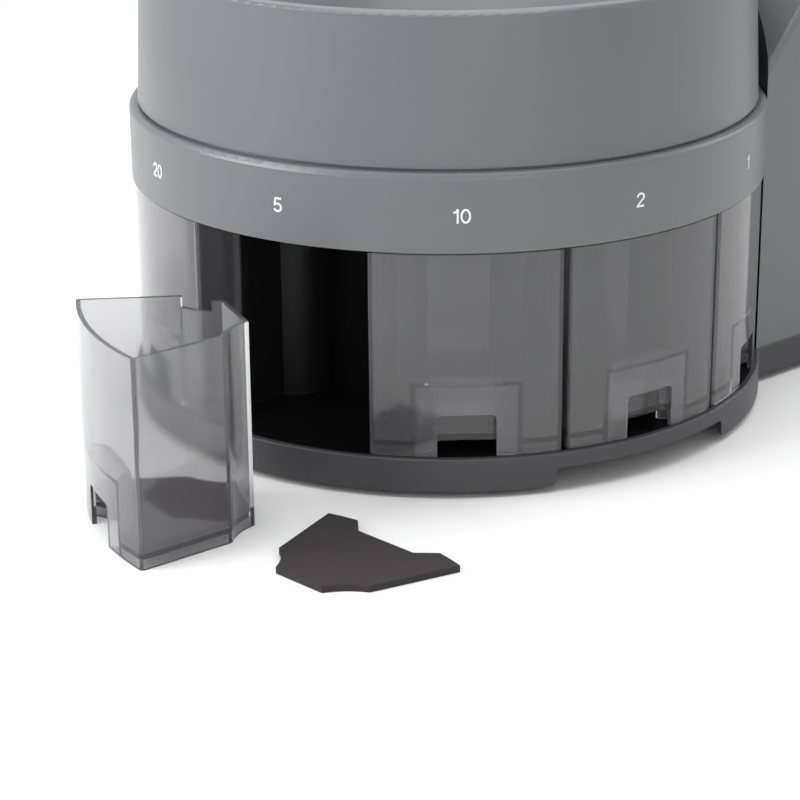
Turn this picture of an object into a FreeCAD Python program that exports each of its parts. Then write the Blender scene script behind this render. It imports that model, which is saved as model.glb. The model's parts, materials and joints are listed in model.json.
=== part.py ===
"""Desk coin sorting machine with eight pull-out coin cups around a drum.

A dark base carries a round core, bay dividers and a rear console. Eight wedge cups stand in the
bays, one of them taken out and set down in front beside a spare foam pad. Above the bays a
turntable spins under a fixed sorting head and throws each coin out at its own exit slot.

Frame: millimetres, origin on the drum axis at table level, +Z up, the cups' front at -Y and the
console at +Y. Station angles run from -Y towards +X.
"""
import FreeCAD, Part
import math
import os

import Sketcher

SIZES = {
    # Drum levels and radii
    "foot_gap": 3.0,
    "base_height": 14.7,
    "bay_height": 89.9,
    "band_height": 33.5,
    "drum_radius": 145.0,
    "base_lip": 1.5,
    "base_edge_round": 0.8,
    "skirt_wall": 2.5,
    "deck_thickness": 2.5,
    "band_wall": 2.8,
    "band_flange_width": 23.0,
    "edge_round": 2.6,
    # Grip cut-outs in the base skirt
    "grip_angle": 85.0,
    "grip_span": 95.0,
    "grip_height": 8.0,
    "grip_reach": 16.0,
    "grip_round": 2.5,
    "grip_overhang": 1.0,
    # Underside
    "cover_inset": 3.0,
    "cover_setback": 20.5,
    "cover_thickness": 2.0,
    "cover_margin": 14.0,
    "foot_radius": 9.0,
    "foot_circle_inset": 14.0,
    "foot_inset": 13.5,
    "screw_radius": 1.5,
    "screw_head_radius": 3.2,
    "screw_head_height": 1.8,
    "screw_length": 8.0,
    "screw_circle_inset": 26.0,
    "boss_radius": 4.5,
    "hole_clearance": 0.15,
    # Core and dividers
    "bay_depth": 65.5,
    "core_wall": 2.5,
    "flank_radius": 27.4,
    "flank_lead": 0.3,
    "flank_offset": 18.1,
    "fin_setback": 23.0,
    "fin_root_lead": 10.2,
    "fin_clearance": 0.5,
    # Cups
    "cup_pitch": 34.0,
    "cup_side_gap": 1.05,
    "cup_front_setback": 1.0,
    "cup_back_gap": 2.5,
    "cup_wall": 2.0,
    "cup_skirt": 4.0,
    "cup_floor": 2.4,
    "cup_scoop_clearance": 0.6,
    "cup_lift": 0.3,
    "cup_headroom": 0.9,
    "cup_corner_round": 1.8,
    "cup_notch_width": 12.0,
    "cup_notch_depth": 4.6,
    "cup_notch_start": 6.4,
    "cup_notch_reach": 14.0,
    "tunnel_mouth": 52.5,
    "tunnel_back": 27.0,
    "tunnel_depth": 7.5,
    "tunnel_height": 30.6,
    "tunnel_wall": 1.8,
    "finger_width": 25.0,
    "finger_height": 18.7,
    "finger_round": 2.5,
    "pad_thickness": 3.0,
    "pad_clearance": 0.5,
    # Loose cup and spare pad on the table
    "loose_cup_offset_x": 88.7,
    "loose_cup_offset_y": -93.9,
    "loose_cup_turn": -19.2,
    "spare_pad_offset_x": 137.6,
    "spare_pad_offset_y": -283.3,
    "spare_pad_turn": 183.5,
    # Sorting works
    "chute_gap": 0.4,
    "chute_thickness": 2.5,
    "chute_clearance": 0.4,
    "slot_gap": 0.6,
    "slot_length": 18.0,
    "slot_width": 32.0,
    "turntable_lift": 6.0,
    "turntable_setback": 33.0,
    "turntable_thickness": 5.0,
    "turntable_hub_radius": 14.0,
    "turntable_hub_height": 5.0,
    "turntable_pad_thickness": 2.0,
    "head_gap": 0.6,
    "head_thickness": 5.0,
    "head_width": 50.4,
    "head_overhang": 6.4,
    "head_groove_depth": 3.0,
    "head_groove_start": 20.0,
    "post_inset": 2.6,
    "post_radius": 2.2,
    "sensor_angle": 10.5,
    "sensor_wall_gap": 8.2,
    "sensor_width": 8.0,
    "sensor_length": 10.0,
    "sensor_height": 9.0,
    "coin_clearance": 0.8,
    "cone_radius": 30.0,
    "cone_height": 26.0,
    "cone_tip_radius": 6.0,
    "cone_foot": 3.2,
    "spindle_nose": 8.6,
    # Drive
    "spindle_radius": 5.0,
    "running_clearance": 0.05,
    "bearing_radius": 11.0,
    "bearing_height": 7.0,
    "bearing_boss_wall": 4.0,
    "bearing_lip": 1.5,
    "bearing_lip_radius": 8.0,
    "motor_plate_height": 44.0,
    "motor_plate_thickness": 3.0,
    "motor_plate_gap": 9.0,
    "leg_inset": 8.0,
    "leg_radius": 4.5,
    "motor_radius": 17.0,
    "motor_length": 38.0,
    "motor_nose_radius": 6.0,
    "motor_nose_height": 2.0,
    "motor_shaft_radius": 2.0,
    "gear_module": 1.0,
    "gear_teeth": 60.0,
    "pinion_teeth": 15.0,
    "gear_lift": 9.0,
    "gear_thickness": 8.0,
    "gear_backlash": 0.22,
    "spindle_collar_radius": 7.5,
    # Hopper
    "hopper_foot": 1.2,
    "hopper_setback": 4.0,
    "hopper_taper": 3.0,
    "hopper_height": 64.0,
    "hopper_wall": 2.6,
    "hopper_lip": 7.0,
    "hopper_throat_margin": 1.5,
    "hopper_throat_gap": 0.4,
    "hopper_collar": 4.0,
    # Console
    "console_half_width": 101.3,
    "console_back": 210.0,
    "console_height": 256.0,
    "console_ledge": 12.0,
    "console_wall": 2.6,
    "console_round": 16.0,
    "console_edge": 3.0,
    "console_gap": 0.6,
    "console_overlap": 65.0,
    "console_base_lip": 0.4,
    "panel_tilt": 48.0,
    "panel_width": 174.0,
    "panel_depth": 62.0,
    "panel_thickness": 2.4,
    "panel_margin": 6.0,
    "panel_round": 5.0,
    "panel_overlap": 4.0,
    "panel_boss_radius": 3.0,
    "window_width": 70.0,
    "window_depth": 36.0,
    "window_centre": -36.0,
    "lens_border": 3.0,
    "lens_thickness": 1.4,
    "lens_clearance": 0.1,
    "lcd_rim": 0.8,
    "board_drop": 8.0,
    "board_thickness": 1.6,
    "board_margin": 5.0,
    "key_gap": 4.5,
    "key_depth": 12.0,
    "key_rise": 2.0,
    "key_travel": 1.5,
    "key_clearance": 0.35,
    "key_flange": 1.2,
    "key_flange_height": 1.2,
    "key_round": 2.0,
    "key_row_pitch": 16.6,
    "key_field_start": 4.25,
    "key_field_margin": 4.75,
    "switch_size": 6.0,
    # Back panel fittings
    "inlet_width": 28.0,
    "inlet_height": 20.0,
    "inlet_depth": 22.0,
    "inlet_flange": 4.0,
    "inlet_flange_thickness": 2.0,
    "inlet_wall": 2.2,
    "inlet_socket_depth": 15.0,
    "inlet_x": -58.0,
    "fitting_level": 30.0,
    "blade_width": 2.0,
    "blade_height": 4.0,
    "blade_length": 8.0,
    "blade_spread": 14.0,
    "blade_drop": 1.5,
    "blade_rise": 2.5,
    "rocker_width": 14.0,
    "rocker_height": 20.0,
    "rocker_frame_wall": 2.5,
    "rocker_frame_depth": 14.0,
    "rocker_frame_rise": 1.5,
    "rocker_clearance": 0.4,
    "rocker_end_gap": 1.2,
    "rocker_tilt": 9.0,
    "rocker_thickness": 5.5,
    "rocker_pin_radius": 1.5,
    "rocker_x": -22.0,
    "port_width": 16.0,
    "port_height": 14.0,
    "port_depth": 16.0,
    "port_wall": 2.0,
    "port_x": 52.0,
    "fitting_gap": 0.15,
    "vent_width": 60.0,
    "vent_height": 3.0,
    "vent_spread": 74.4,
    "vent_pitch": 8.0,
    "vent_level": 150.0,
    "main_board_width": 120.0,
    "main_board_height": 80.0,
    "main_board_level": 70.0,
    "main_board_gap": 6.0,
    "supply_width": 60.0,
    "supply_depth": 30.0,
    "supply_height": 42.0,
    "supply_y": 97.0,
}

CUP_COUNT = 8
LOOSE_CUP = 4
COIN_DIAMETERS = (16.25, 18.75, 19.75, 21.25, 22.25, 23.25, 24.25, 25.75)
KEY_NAMES = ("start", "stop", "menu", "print", "up", "down", "clear", "enter")
KEY_COLUMNS = 4
SCREW_ANGLES = (30.0, 90.0, 150.0, 210.0, 270.0, 330.0)
FOOT_ANGLES = (40.0, 130.0, 230.0, 320.0)
LEG_ANGLES = (0.0, 72.0, 144.0, 216.0, 288.0)
MOTOR_ANGLE = 180.0
QUARTER_TURN = 90.0
VENT_COUNT = 7
PRESSURE_ANGLE = 20.0
TOOTH_TIP = 0.95
TOOTH_ROOT = 1.25
FLANK_STEPS = 5
TOUCH = 0.01

DOC = FreeCAD.newDocument("coin_sorter")
SHEET = DOC.addObject("Spreadsheet::Sheet", "Sizes")
PIECES = []
UPRIGHT = (0, 0, 1)
ACROSS = (0, 1, 0)
ALONG = (1, 0, 0)


class Size:
    """A number together with the sheet expression that yields it."""

    def __init__(self, value, text):
        self.value = value
        self.text = text

    @staticmethod
    def of(other):
        return other if isinstance(other, Size) else Size(float(other), repr(float(other)))

    def _join(self, other, sign, value):
        return Size(value, "(%s %s %s)" % (self.text, sign, Size.of(other).text))

    def __add__(self, other):
        return self._join(other, "+", self.value + Size.of(other).value)

    def __sub__(self, other):
        return self._join(other, "-", self.value - Size.of(other).value)

    def __mul__(self, other):
        return self._join(other, "*", self.value * Size.of(other).value)

    def __truediv__(self, other):
        return self._join(other, "/", self.value / Size.of(other).value)

    def __neg__(self):
        return Size(-self.value, "(0 - %s)" % self.text)

    def __radd__(self, other):
        return Size.of(other) + self

    def __rsub__(self, other):
        return Size.of(other) - self

    def __rmul__(self, other):
        return Size.of(other) * self

    def sin(self):
        return Size(math.sin(math.radians(self.value)), "sin(%s)" % self.text)

    def cos(self):
        return Size(math.cos(math.radians(self.value)), "cos(%s)" % self.text)

    def tan(self):
        return Size(math.tan(math.radians(self.value)), "tan(%s)" % self.text)


class Sheet:
    """Read access to the sheet's cells as Size values, one attribute per alias."""

    def __init__(self, numbers):
        for row, (alias, number) in enumerate(numbers.items(), start=1):
            SHEET.set("A%d" % row, alias)
            SHEET.set("B%d" % row, repr(number))
            SHEET.setAlias("B%d" % row, alias)
            setattr(self, alias, Size(number, "Sizes." + alias))
        DOC.recompute()


S = Sheet(SIZES)
ZERO = Size.of(0)
BASE_TOP = S.foot_gap + S.base_height
BAND_BOTTOM = BASE_TOP + S.bay_height
BAND_TOP = BAND_BOTTOM + S.band_height
BASE_RADIUS = S.drum_radius + S.base_lip
BAND_INNER = S.drum_radius - S.band_wall
COVER_RADIUS = BASE_RADIUS - S.cover_setback
FOOT_CIRCLE = COVER_RADIUS - S.foot_circle_inset
SCREW_CIRCLE = COVER_RADIUS - S.screw_circle_inset
CORE_RADIUS = S.drum_radius - S.bay_depth
FLANK_CIRCLE = CORE_RADIUS + S.flank_lead
CUP_FRONT = S.drum_radius - S.cup_front_setback
FIN_THICKNESS = (S.cup_side_gap - S.fin_clearance) * 2
CUP_BACK = CORE_RADIUS + S.cup_back_gap
TABLE_RADIUS = S.drum_radius - S.turntable_setback
HEAD_OUTER = TABLE_RADIUS + S.head_overhang
HEAD_INNER = HEAD_OUTER - S.head_width
THROAT_RADIUS = HEAD_INNER + S.hopper_throat_margin
PLATE_RADIUS = CORE_RADIUS - S.core_wall - S.motor_plate_gap
COVER_BOTTOM = S.foot_gap + S.cover_inset
COVER_TOP = COVER_BOTTOM + S.cover_thickness
CUP_BOTTOM = BASE_TOP + S.cup_lift
CUP_HEIGHT = S.bay_height - S.cup_lift - S.cup_headroom
CUP_FLOOR = S.cup_skirt + S.cup_floor
CHUTE_BOTTOM = BAND_BOTTOM + S.chute_gap
CHUTE_TOP = CHUTE_BOTTOM + S.chute_thickness
CHUTE_RADIUS = BAND_INNER - S.chute_clearance
TABLE_BOTTOM = CHUTE_TOP + S.turntable_lift
TABLE_TOP = TABLE_BOTTOM + S.turntable_thickness
PAD_TOP = TABLE_TOP + S.turntable_pad_thickness
HEAD_BOTTOM = PAD_TOP + S.head_gap
HEAD_TOP = HEAD_BOTTOM + S.head_thickness
PLATE_BOTTOM = BASE_TOP + S.motor_plate_height
PLATE_TOP = PLATE_BOTTOM + S.motor_plate_thickness
GEAR_BOTTOM = PLATE_TOP + S.gear_lift
GEAR_TOP = GEAR_BOTTOM + S.gear_thickness
GEAR_CENTRES = S.gear_module * (S.gear_teeth + S.pinion_teeth) / 2
BOSS_RADIUS = S.bearing_radius + S.bearing_boss_wall
LOWER_BEARING = PLATE_TOP - S.bearing_height
UPPER_BEARING = CHUTE_TOP - S.bearing_height
SPINDLE_TOP = PAD_TOP + S.spindle_nose
BACK_INNER = S.console_back - S.console_wall
KEY_PITCH = (S.panel_width / 2 - S.key_field_margin - S.key_field_start) / KEY_COLUMNS
KEY_WIDTH = KEY_PITCH - S.key_gap
FITTING_Z = BASE_TOP + S.fitting_level


def station(number):
    """Station angle of a cup, counted from the smallest coin to the largest."""
    return S.cup_pitch * ((CUP_COUNT + 1) / 2.0 - number)


def polar(radius, angle):
    """Point at a radius and a station angle, as two Size values."""
    return radius * Size.of(angle).sin(), -(radius * Size.of(angle).cos())


def bind(obj, prop, size):
    """Bind one property of an object to a Size."""
    obj.setExpression(prop, Size.of(size).text)


def place(obj, x=0, y=0, z=0, turn=0, axis=UPRIGHT):
    """Bind an object's position and its turn about an axis, the vertical unless another is given."""
    obj.Placement = FreeCAD.Placement(FreeCAD.Vector(), FreeCAD.Rotation(FreeCAD.Vector(*axis), 1))
    for letter, size in (("x", x), ("y", y), ("z", z)):
        bind(obj, "Placement.Base." + letter, size)
    bind(obj, "Placement.Rotation.Angle", turn)
    return obj


def cylinder(name, radius, height, x=0, y=0, z=0, angle=360, turn=0):
    """Upright cylinder or pie slice."""
    obj = DOC.addObject("Part::Cylinder", name)
    bind(obj, "Radius", radius)
    bind(obj, "Height", height)
    bind(obj, "Angle", angle)
    return place(obj, x, y, z, turn)


def box(name, width, depth, height, x=0, y=0, z=0):
    """Box centred on x, starting at y and z."""
    obj = DOC.addObject("Part::Box", name)
    bind(obj, "Length", width)
    bind(obj, "Width", depth)
    bind(obj, "Height", height)
    return place(obj, x - Size.of(width) / 2, y, z)


def cut(name, base, *tools):
    """Base with every tool taken away."""
    obj = DOC.addObject("Part::Cut", name)
    obj.Base = base
    obj.Tool = tools[0] if len(tools) == 1 else fuse(name + "_tools", *tools)
    return obj


def fuse(name, *shapes):
    """Union of several shapes."""
    obj = DOC.addObject("Part::MultiFuse", name)
    obj.Shapes = list(shapes)
    return obj


def common(name, first, second):
    """Intersection of two shapes."""
    obj = DOC.addObject("Part::Common", name)
    obj.Base = first
    obj.Tool = second
    return obj


def group(name, shapes):
    """Several separate solids kept as one sub-part."""
    obj = DOC.addObject("Part::Compound", name)
    obj.Links = list(shapes)
    return obj


def copy_of(name, source, x=0, y=0, z=0, turn=0):
    """Another solid with the source's shape, at its own place."""
    obj = DOC.addObject("Part::Compound", name)
    obj.Links = [source]
    return place(obj, x, y, z, turn)


def rounded(name, base, radius, wanted):
    """Fillet on those edges of the base that pass the test."""
    DOC.recompute()
    obj = DOC.addObject("Part::Fillet", name)
    obj.Base = base
    edges = enumerate(base.Shape.Edges, start=1)
    obj.Edges = [(index, radius.value, radius.value) for index, edge in edges if wanted(edge)]
    return obj


def is_upright(edge):
    """True for a straight vertical edge."""
    box_of = edge.BoundBox
    return box_of.XLength < 1e-4 and box_of.YLength < 1e-4


def outline(body, plane, points):
    """Closed sketch of straight lines whose corners are bound to Size pairs."""
    sketch = body.newObject("Sketcher::SketchObject", body.Name + "_sketch")
    support = [item for item in body.Origin.OriginFeatures if item.Role == plane][0]
    sketch.AttachmentSupport = [(support, "")]
    sketch.MapMode = "FlatFace"
    corners = [(Size.of(u), Size.of(v)) for u, v in points]
    places = [FreeCAD.Vector(u.value, v.value, 0) for u, v in corners]
    count = len(corners)
    for index in range(count):
        sketch.addGeometry(Part.LineSegment(places[index], places[(index + 1) % count]), False)
    for index in range(count):
        sketch.addConstraint(Sketcher.Constraint("Coincident", index, 2, (index + 1) % count, 1))
    for index, corner in enumerate(corners):
        for kind, axis, size in (("DistanceX", -2, corner[0]), ("DistanceY", -1, corner[1])):
            if abs(size.value) < 1e-9:
                sketch.addConstraint(Sketcher.Constraint("PointOnObject", index, 1, axis))
                continue
            number = sketch.addConstraint(Sketcher.Constraint(kind, index, 1, size.value))
            sketch.setExpression("Constraints[%d]" % number, size.text)
    return sketch


def lathe(name, points):
    """Body of revolution about the drum axis from radius and height pairs."""
    body = DOC.addObject("PartDesign::Body", name)
    sketch = outline(body, "XZ_Plane", points)
    DOC.recompute()
    turned = body.newObject("PartDesign::Revolution", name + "_turned")
    turned.Profile = sketch
    turned.ReferenceAxis = (sketch, ["V_Axis"])
    turned.Angle = 360
    body.Tip = turned
    return body


def slab(name, points, height, plane="XY_Plane"):
    """Body padded from an outline, along its plane's normal."""
    body = DOC.addObject("PartDesign::Body", name)
    sketch = outline(body, plane, points)
    DOC.recompute()
    pad = body.newObject("PartDesign::Pad", name + "_pad")
    pad.Profile = sketch
    bind(pad, "Length", height)
    body.Tip = pad
    return body


def keep(label, obj):
    """Register a finished sub-part under its own label."""
    obj.Label = label
    PIECES.append(obj)
    return obj


def rear_block(name, half_width, back, height, z, corner):
    """Block from the drum axis to the back, with its two rear corners rounded."""
    block = box(name + "_box", half_width * 2, back, height, y=0, z=z)
    return rounded(name, block, corner, lambda edge: is_upright(edge) and edge.CenterOfMass.y > 1)


def build_base():
    """Base tray with deck, skirt, grips and screw bosses."""
    half = S.console_half_width + S.console_base_lip
    back = S.console_back + S.console_base_lip
    solid = fuse(
        "tray_solid",
        cylinder("tray_drum", BASE_RADIUS, S.base_height, z=S.foot_gap),
        rear_block("tray_rear", half, back, S.base_height, S.foot_gap, S.console_round),
    )
    soft = rounded(
        "tray_soft", solid, S.base_edge_round,
        lambda edge: edge.BoundBox.ZMin > BASE_TOP.value - TOUCH and edge.Length > S.base_height.value,
    )
    depth = S.base_height - S.deck_thickness
    hollow = fuse(
        "tray_hollow",
        cylinder("tray_hollow_drum", BASE_RADIUS - S.skirt_wall, depth, z=S.foot_gap),
        rear_block(
            "tray_hollow_rear", half - S.skirt_wall, back - S.skirt_wall, depth, S.foot_gap,
            S.console_round - S.skirt_wall,
        ),
    )
    shell = cut("tray_shell", soft, hollow)
    bosses = []
    holes = []
    for number, angle in enumerate(SCREW_ANGLES):
        x, y = polar(SCREW_CIRCLE, angle)
        rise = BASE_TOP - S.deck_thickness - COVER_TOP
        bosses.append(cylinder("tray_boss%d" % number, S.boss_radius, rise, x, y, COVER_TOP))
        bore = S.screw_radius + S.hole_clearance
        holes.append(cylinder("tray_bore%d" % number, bore, rise, x, y, COVER_TOP))
    grips = [grip_cutter("grip_right", S.grip_angle), grip_cutter("grip_left", -S.grip_angle)]
    keep("base_tray", cut("base_tray", fuse("tray_bossed", shell, *bosses), *holes, *grips))


def grip_cutter(name, angle):
    """Hand grip cut into the skirt's lower edge, round at its corners."""
    reach = S.grip_reach + S.skirt_wall
    block = box(name + "_block", S.grip_span, reach, S.grip_height)
    soft = rounded(
        name + "_soft", block, S.grip_round,
        lambda edge: edge.BoundBox.YLength > 1 and edge.CenterOfMass.z > S.grip_height.value / 2,
    )
    mouths = []
    for side in (-1, 1):
        corner = box(name + "_corner%d" % side, S.grip_round, reach, S.grip_round)
        place(corner, side * S.grip_span / 2 + (side - 1) * S.grip_round / 2, 0, 0)
        rod = cylinder(name + "_rod%d" % side, S.grip_round, reach)
        place(rod, side * (S.grip_span / 2 + S.grip_round), 0, S.grip_round, -90, ALONG)
        mouths.append(cut(name + "_mouth%d" % side, corner, rod))
    cutter = fuse(name + "_cutter", soft, *mouths)
    x, y = polar(BASE_RADIUS + S.grip_overhang, angle)
    return copy_of(name, cutter, x, y, S.foot_gap, angle)


def build_underside():
    """Bottom cover, feet and the screws that hold the cover."""
    disc = cylinder("cover_disc", COVER_RADIUS, S.cover_thickness, z=COVER_BOTTOM)
    tail = box(
        "cover_tail", (S.console_half_width - S.cover_margin) * 2, S.console_back - S.cover_margin,
        S.cover_thickness, y=0, z=COVER_BOTTOM,
    )
    holes = []
    screws = []
    for number, angle in enumerate(SCREW_ANGLES):
        x, y = polar(SCREW_CIRCLE, angle)
        bore = S.screw_radius + S.hole_clearance
        holes.append(cylinder("cover_hole%d" % number, bore, S.cover_thickness, x, y, COVER_BOTTOM))
        head_z = COVER_BOTTOM - S.screw_head_height
        head = cylinder("screw_head%d" % number, S.screw_head_radius, S.screw_head_height, x, y, head_z)
        shank = cylinder("screw_shank%d" % number, S.screw_radius, S.screw_length, x, y, COVER_BOTTOM)
        screws.append(fuse("screw%d" % number, head, shank))
    keep("bottom_cover", cut("bottom_cover", fuse("cover_plate", disc, tail), *holes))
    keep("cover_screws", group("cover_screws", screws))
    spots = [(ZERO, ZERO)] + [polar(FOOT_CIRCLE, angle) for angle in FOOT_ANGLES]
    rear_x = S.console_half_width - S.cover_margin - S.foot_inset
    rear_y = S.console_back - S.cover_margin - S.foot_inset
    spots += [(rear_x, rear_y), (-rear_x, rear_y)]
    feet = [cylinder("foot%d" % n, S.foot_radius, COVER_BOTTOM, x, y) for n, (x, y) in enumerate(spots)]
    keep("rubber_feet", group("rubber_feet", feet))


def build_core():
    """Core tube and the nine dividers that stand between the bays."""
    height = CHUTE_BOTTOM - BASE_TOP
    outer = cylinder("core_outer", CORE_RADIUS, height, z=BASE_TOP)
    inner = cylinder("core_inner", CORE_RADIUS - S.core_wall, height, z=BASE_TOP)
    keep("core_housing", cut("core_housing", outer, inner))
    root = common(
        "divider_root",
        cylinder("divider_left_flank", S.flank_radius, height, x=-S.flank_offset, y=-FLANK_CIRCLE),
        cylinder("divider_right_flank", S.flank_radius, height, x=S.flank_offset, y=-FLANK_CIRCLE),
    )
    tip_y = S.drum_radius - S.fin_setback - FIN_THICKNESS / 2
    fin = box("divider_fin", FIN_THICKNESS, tip_y - FLANK_CIRCLE - S.fin_root_lead, height, y=-tip_y)
    tip = cylinder("divider_tip", FIN_THICKNESS / 2, height, y=-tip_y)
    seat = cylinder("divider_seat", CORE_RADIUS, height)
    divider = cut("divider", fuse("divider_solid", root, fin, tip), seat)
    dividers = []
    for number in range(CUP_COUNT + 1):
        turn = S.cup_pitch * (number - CUP_COUNT / 2.0)
        dividers.append(copy_of("divider%d" % number, divider, z=BASE_TOP, turn=turn))
    keep("bay_dividers", group("bay_dividers", dividers))


def wedge(name, inset, floor, height):
    """Cup-shaped wedge pulled in by an inset on every side, with its front at -Y."""
    half = S.cup_pitch / 2
    front = CUP_FRONT - inset
    slice_y = -((S.cup_side_gap + inset) / half.sin())
    pie = cylinder(
        name + "_pie", CUP_FRONT, height, y=slice_y, z=floor, angle=S.cup_pitch,
        turn=-QUARTER_TURN - half,
    )
    disc = cylinder(name + "_disc", front, height, z=floor)
    sector = common(name + "_sector", pie, disc)
    back = box(name + "_behind", CUP_FRONT, CUP_BACK + inset, height, z=floor)
    place(back, -CUP_FRONT / 2, -(CUP_BACK + inset), floor)
    scoop_radius = S.flank_radius + S.cup_scoop_clearance + inset
    scoops = []
    for side in (-1, 1):
        angle = side * S.cup_pitch / 2
        x, y = polar(FLANK_CIRCLE, angle)
        x = x + side * S.flank_offset * angle.cos()
        y = y + side * S.flank_offset * angle.sin()
        scoops.append(cylinder(name + "_scoop%d" % side, scoop_radius, height, x, y, floor))
    return cut(name, sector, back, *scoops)


def trapezoid(name, mouth, rear, front_y, rear_y, height):
    """Upright prism that narrows from the cup's front towards its back."""
    points = [(-mouth / 2, front_y), (mouth / 2, front_y), (rear / 2, rear_y), (-rear / 2, rear_y)]
    return slab(name, points, height)


def build_cups():
    """Cup and pad patterns, then the eight cups with their pads and a spare pad."""
    corner_reach = CUP_FRONT.value - S.cup_wall.value * 4
    body = rounded(
        "cup_body", wedge("cup_wedge", ZERO, ZERO, CUP_HEIGHT), S.cup_corner_round,
        lambda edge: is_upright(edge) and math.hypot(edge.CenterOfMass.x, edge.CenterOfMass.y) > corner_reach,
    )
    cavity = wedge("cup_cavity", S.cup_wall, CUP_FLOOR, CUP_HEIGHT)
    under = wedge("cup_underside", S.cup_wall, ZERO, S.cup_skirt)
    shell = cut("cup_shell", body, cavity, under)
    front_y = -CUP_FRONT
    rear_y = -(CUP_FRONT - S.cup_wall - S.tunnel_depth)
    hood = common(
        "cup_hood",
        trapezoid(
            "cup_hood_block", S.tunnel_mouth + S.tunnel_wall * 2, S.tunnel_back + S.tunnel_wall * 2,
            front_y, rear_y + S.tunnel_wall, S.tunnel_height + S.tunnel_wall,
        ),
        body,
    )
    hollow = common(
        "cup_tunnel",
        trapezoid("cup_tunnel_block", S.tunnel_mouth, S.tunnel_back, front_y, rear_y, S.tunnel_height),
        cylinder("cup_tunnel_limit", CUP_FRONT - S.cup_wall, S.tunnel_height),
    )
    door_block = box("cup_door_block", S.finger_width, S.tunnel_depth, S.finger_height, y=front_y)
    door = rounded(
        "cup_door", door_block, S.finger_round,
        lambda edge: edge.BoundBox.YLength > 1 and edge.CenterOfMass.z > S.finger_height.value / 2,
    )
    notch_near = CUP_BACK + S.cup_notch_start
    notch = box("cup_notch_block", S.cup_wall + S.cup_notch_reach, S.cup_notch_width, S.cup_notch_depth)
    place(notch, -S.cup_wall, -(notch_near + S.cup_notch_width), CUP_HEIGHT - S.cup_notch_depth)
    notch_turned = copy_of("cup_notch", notch, turn=-(S.cup_pitch / 2))
    underpass = box("cup_underpass", S.tunnel_back, S.tunnel_wall, S.cup_skirt, y=rear_y)
    cup = cut("cup_pattern", fuse("cup_full", shell, hood), hollow, door, underpass, notch_turned)
    inset = S.cup_wall + S.pad_clearance
    clear = trapezoid(
        "pad_gap", S.tunnel_mouth + (S.tunnel_wall + S.pad_clearance) * 2,
        S.tunnel_back + (S.tunnel_wall + S.pad_clearance) * 2,
        front_y, rear_y + S.tunnel_wall + S.pad_clearance, S.pad_thickness,
    )
    pad = cut("pad_pattern", wedge("pad_wedge", inset, ZERO, S.pad_thickness), clear)
    for number in range(1, CUP_COUNT + 1):
        x, y, z, turn = ZERO, ZERO, CUP_BOTTOM, station(number)
        if number == LOOSE_CUP:
            x, y, z, turn = S.loose_cup_offset_x, S.loose_cup_offset_y, ZERO, S.loose_cup_turn
        keep("coin_cup_%d" % number, copy_of("coin_cup_%d" % number, cup, x, y, z, turn))
        keep("cup_pad_%d" % number, copy_of("cup_pad_%d" % number, pad, x, y, z + CUP_FLOOR, turn))
    spare = copy_of("spare_pad", pad, S.spare_pad_offset_x, S.spare_pad_offset_y, 0, S.spare_pad_turn)
    keep("spare_pad", spare)


def bearing_boss(bearing_bottom, plate_top):
    """Section points of a bearing boss that hangs under a plate, from the bore outwards."""
    lip_bottom = bearing_bottom - S.bearing_lip
    return [
        (S.bearing_radius, plate_top),
        (S.bearing_radius, bearing_bottom),
        (S.bearing_lip_radius, bearing_bottom),
        (S.bearing_lip_radius, lip_bottom),
        (BOSS_RADIUS, lip_bottom),
    ]


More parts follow.
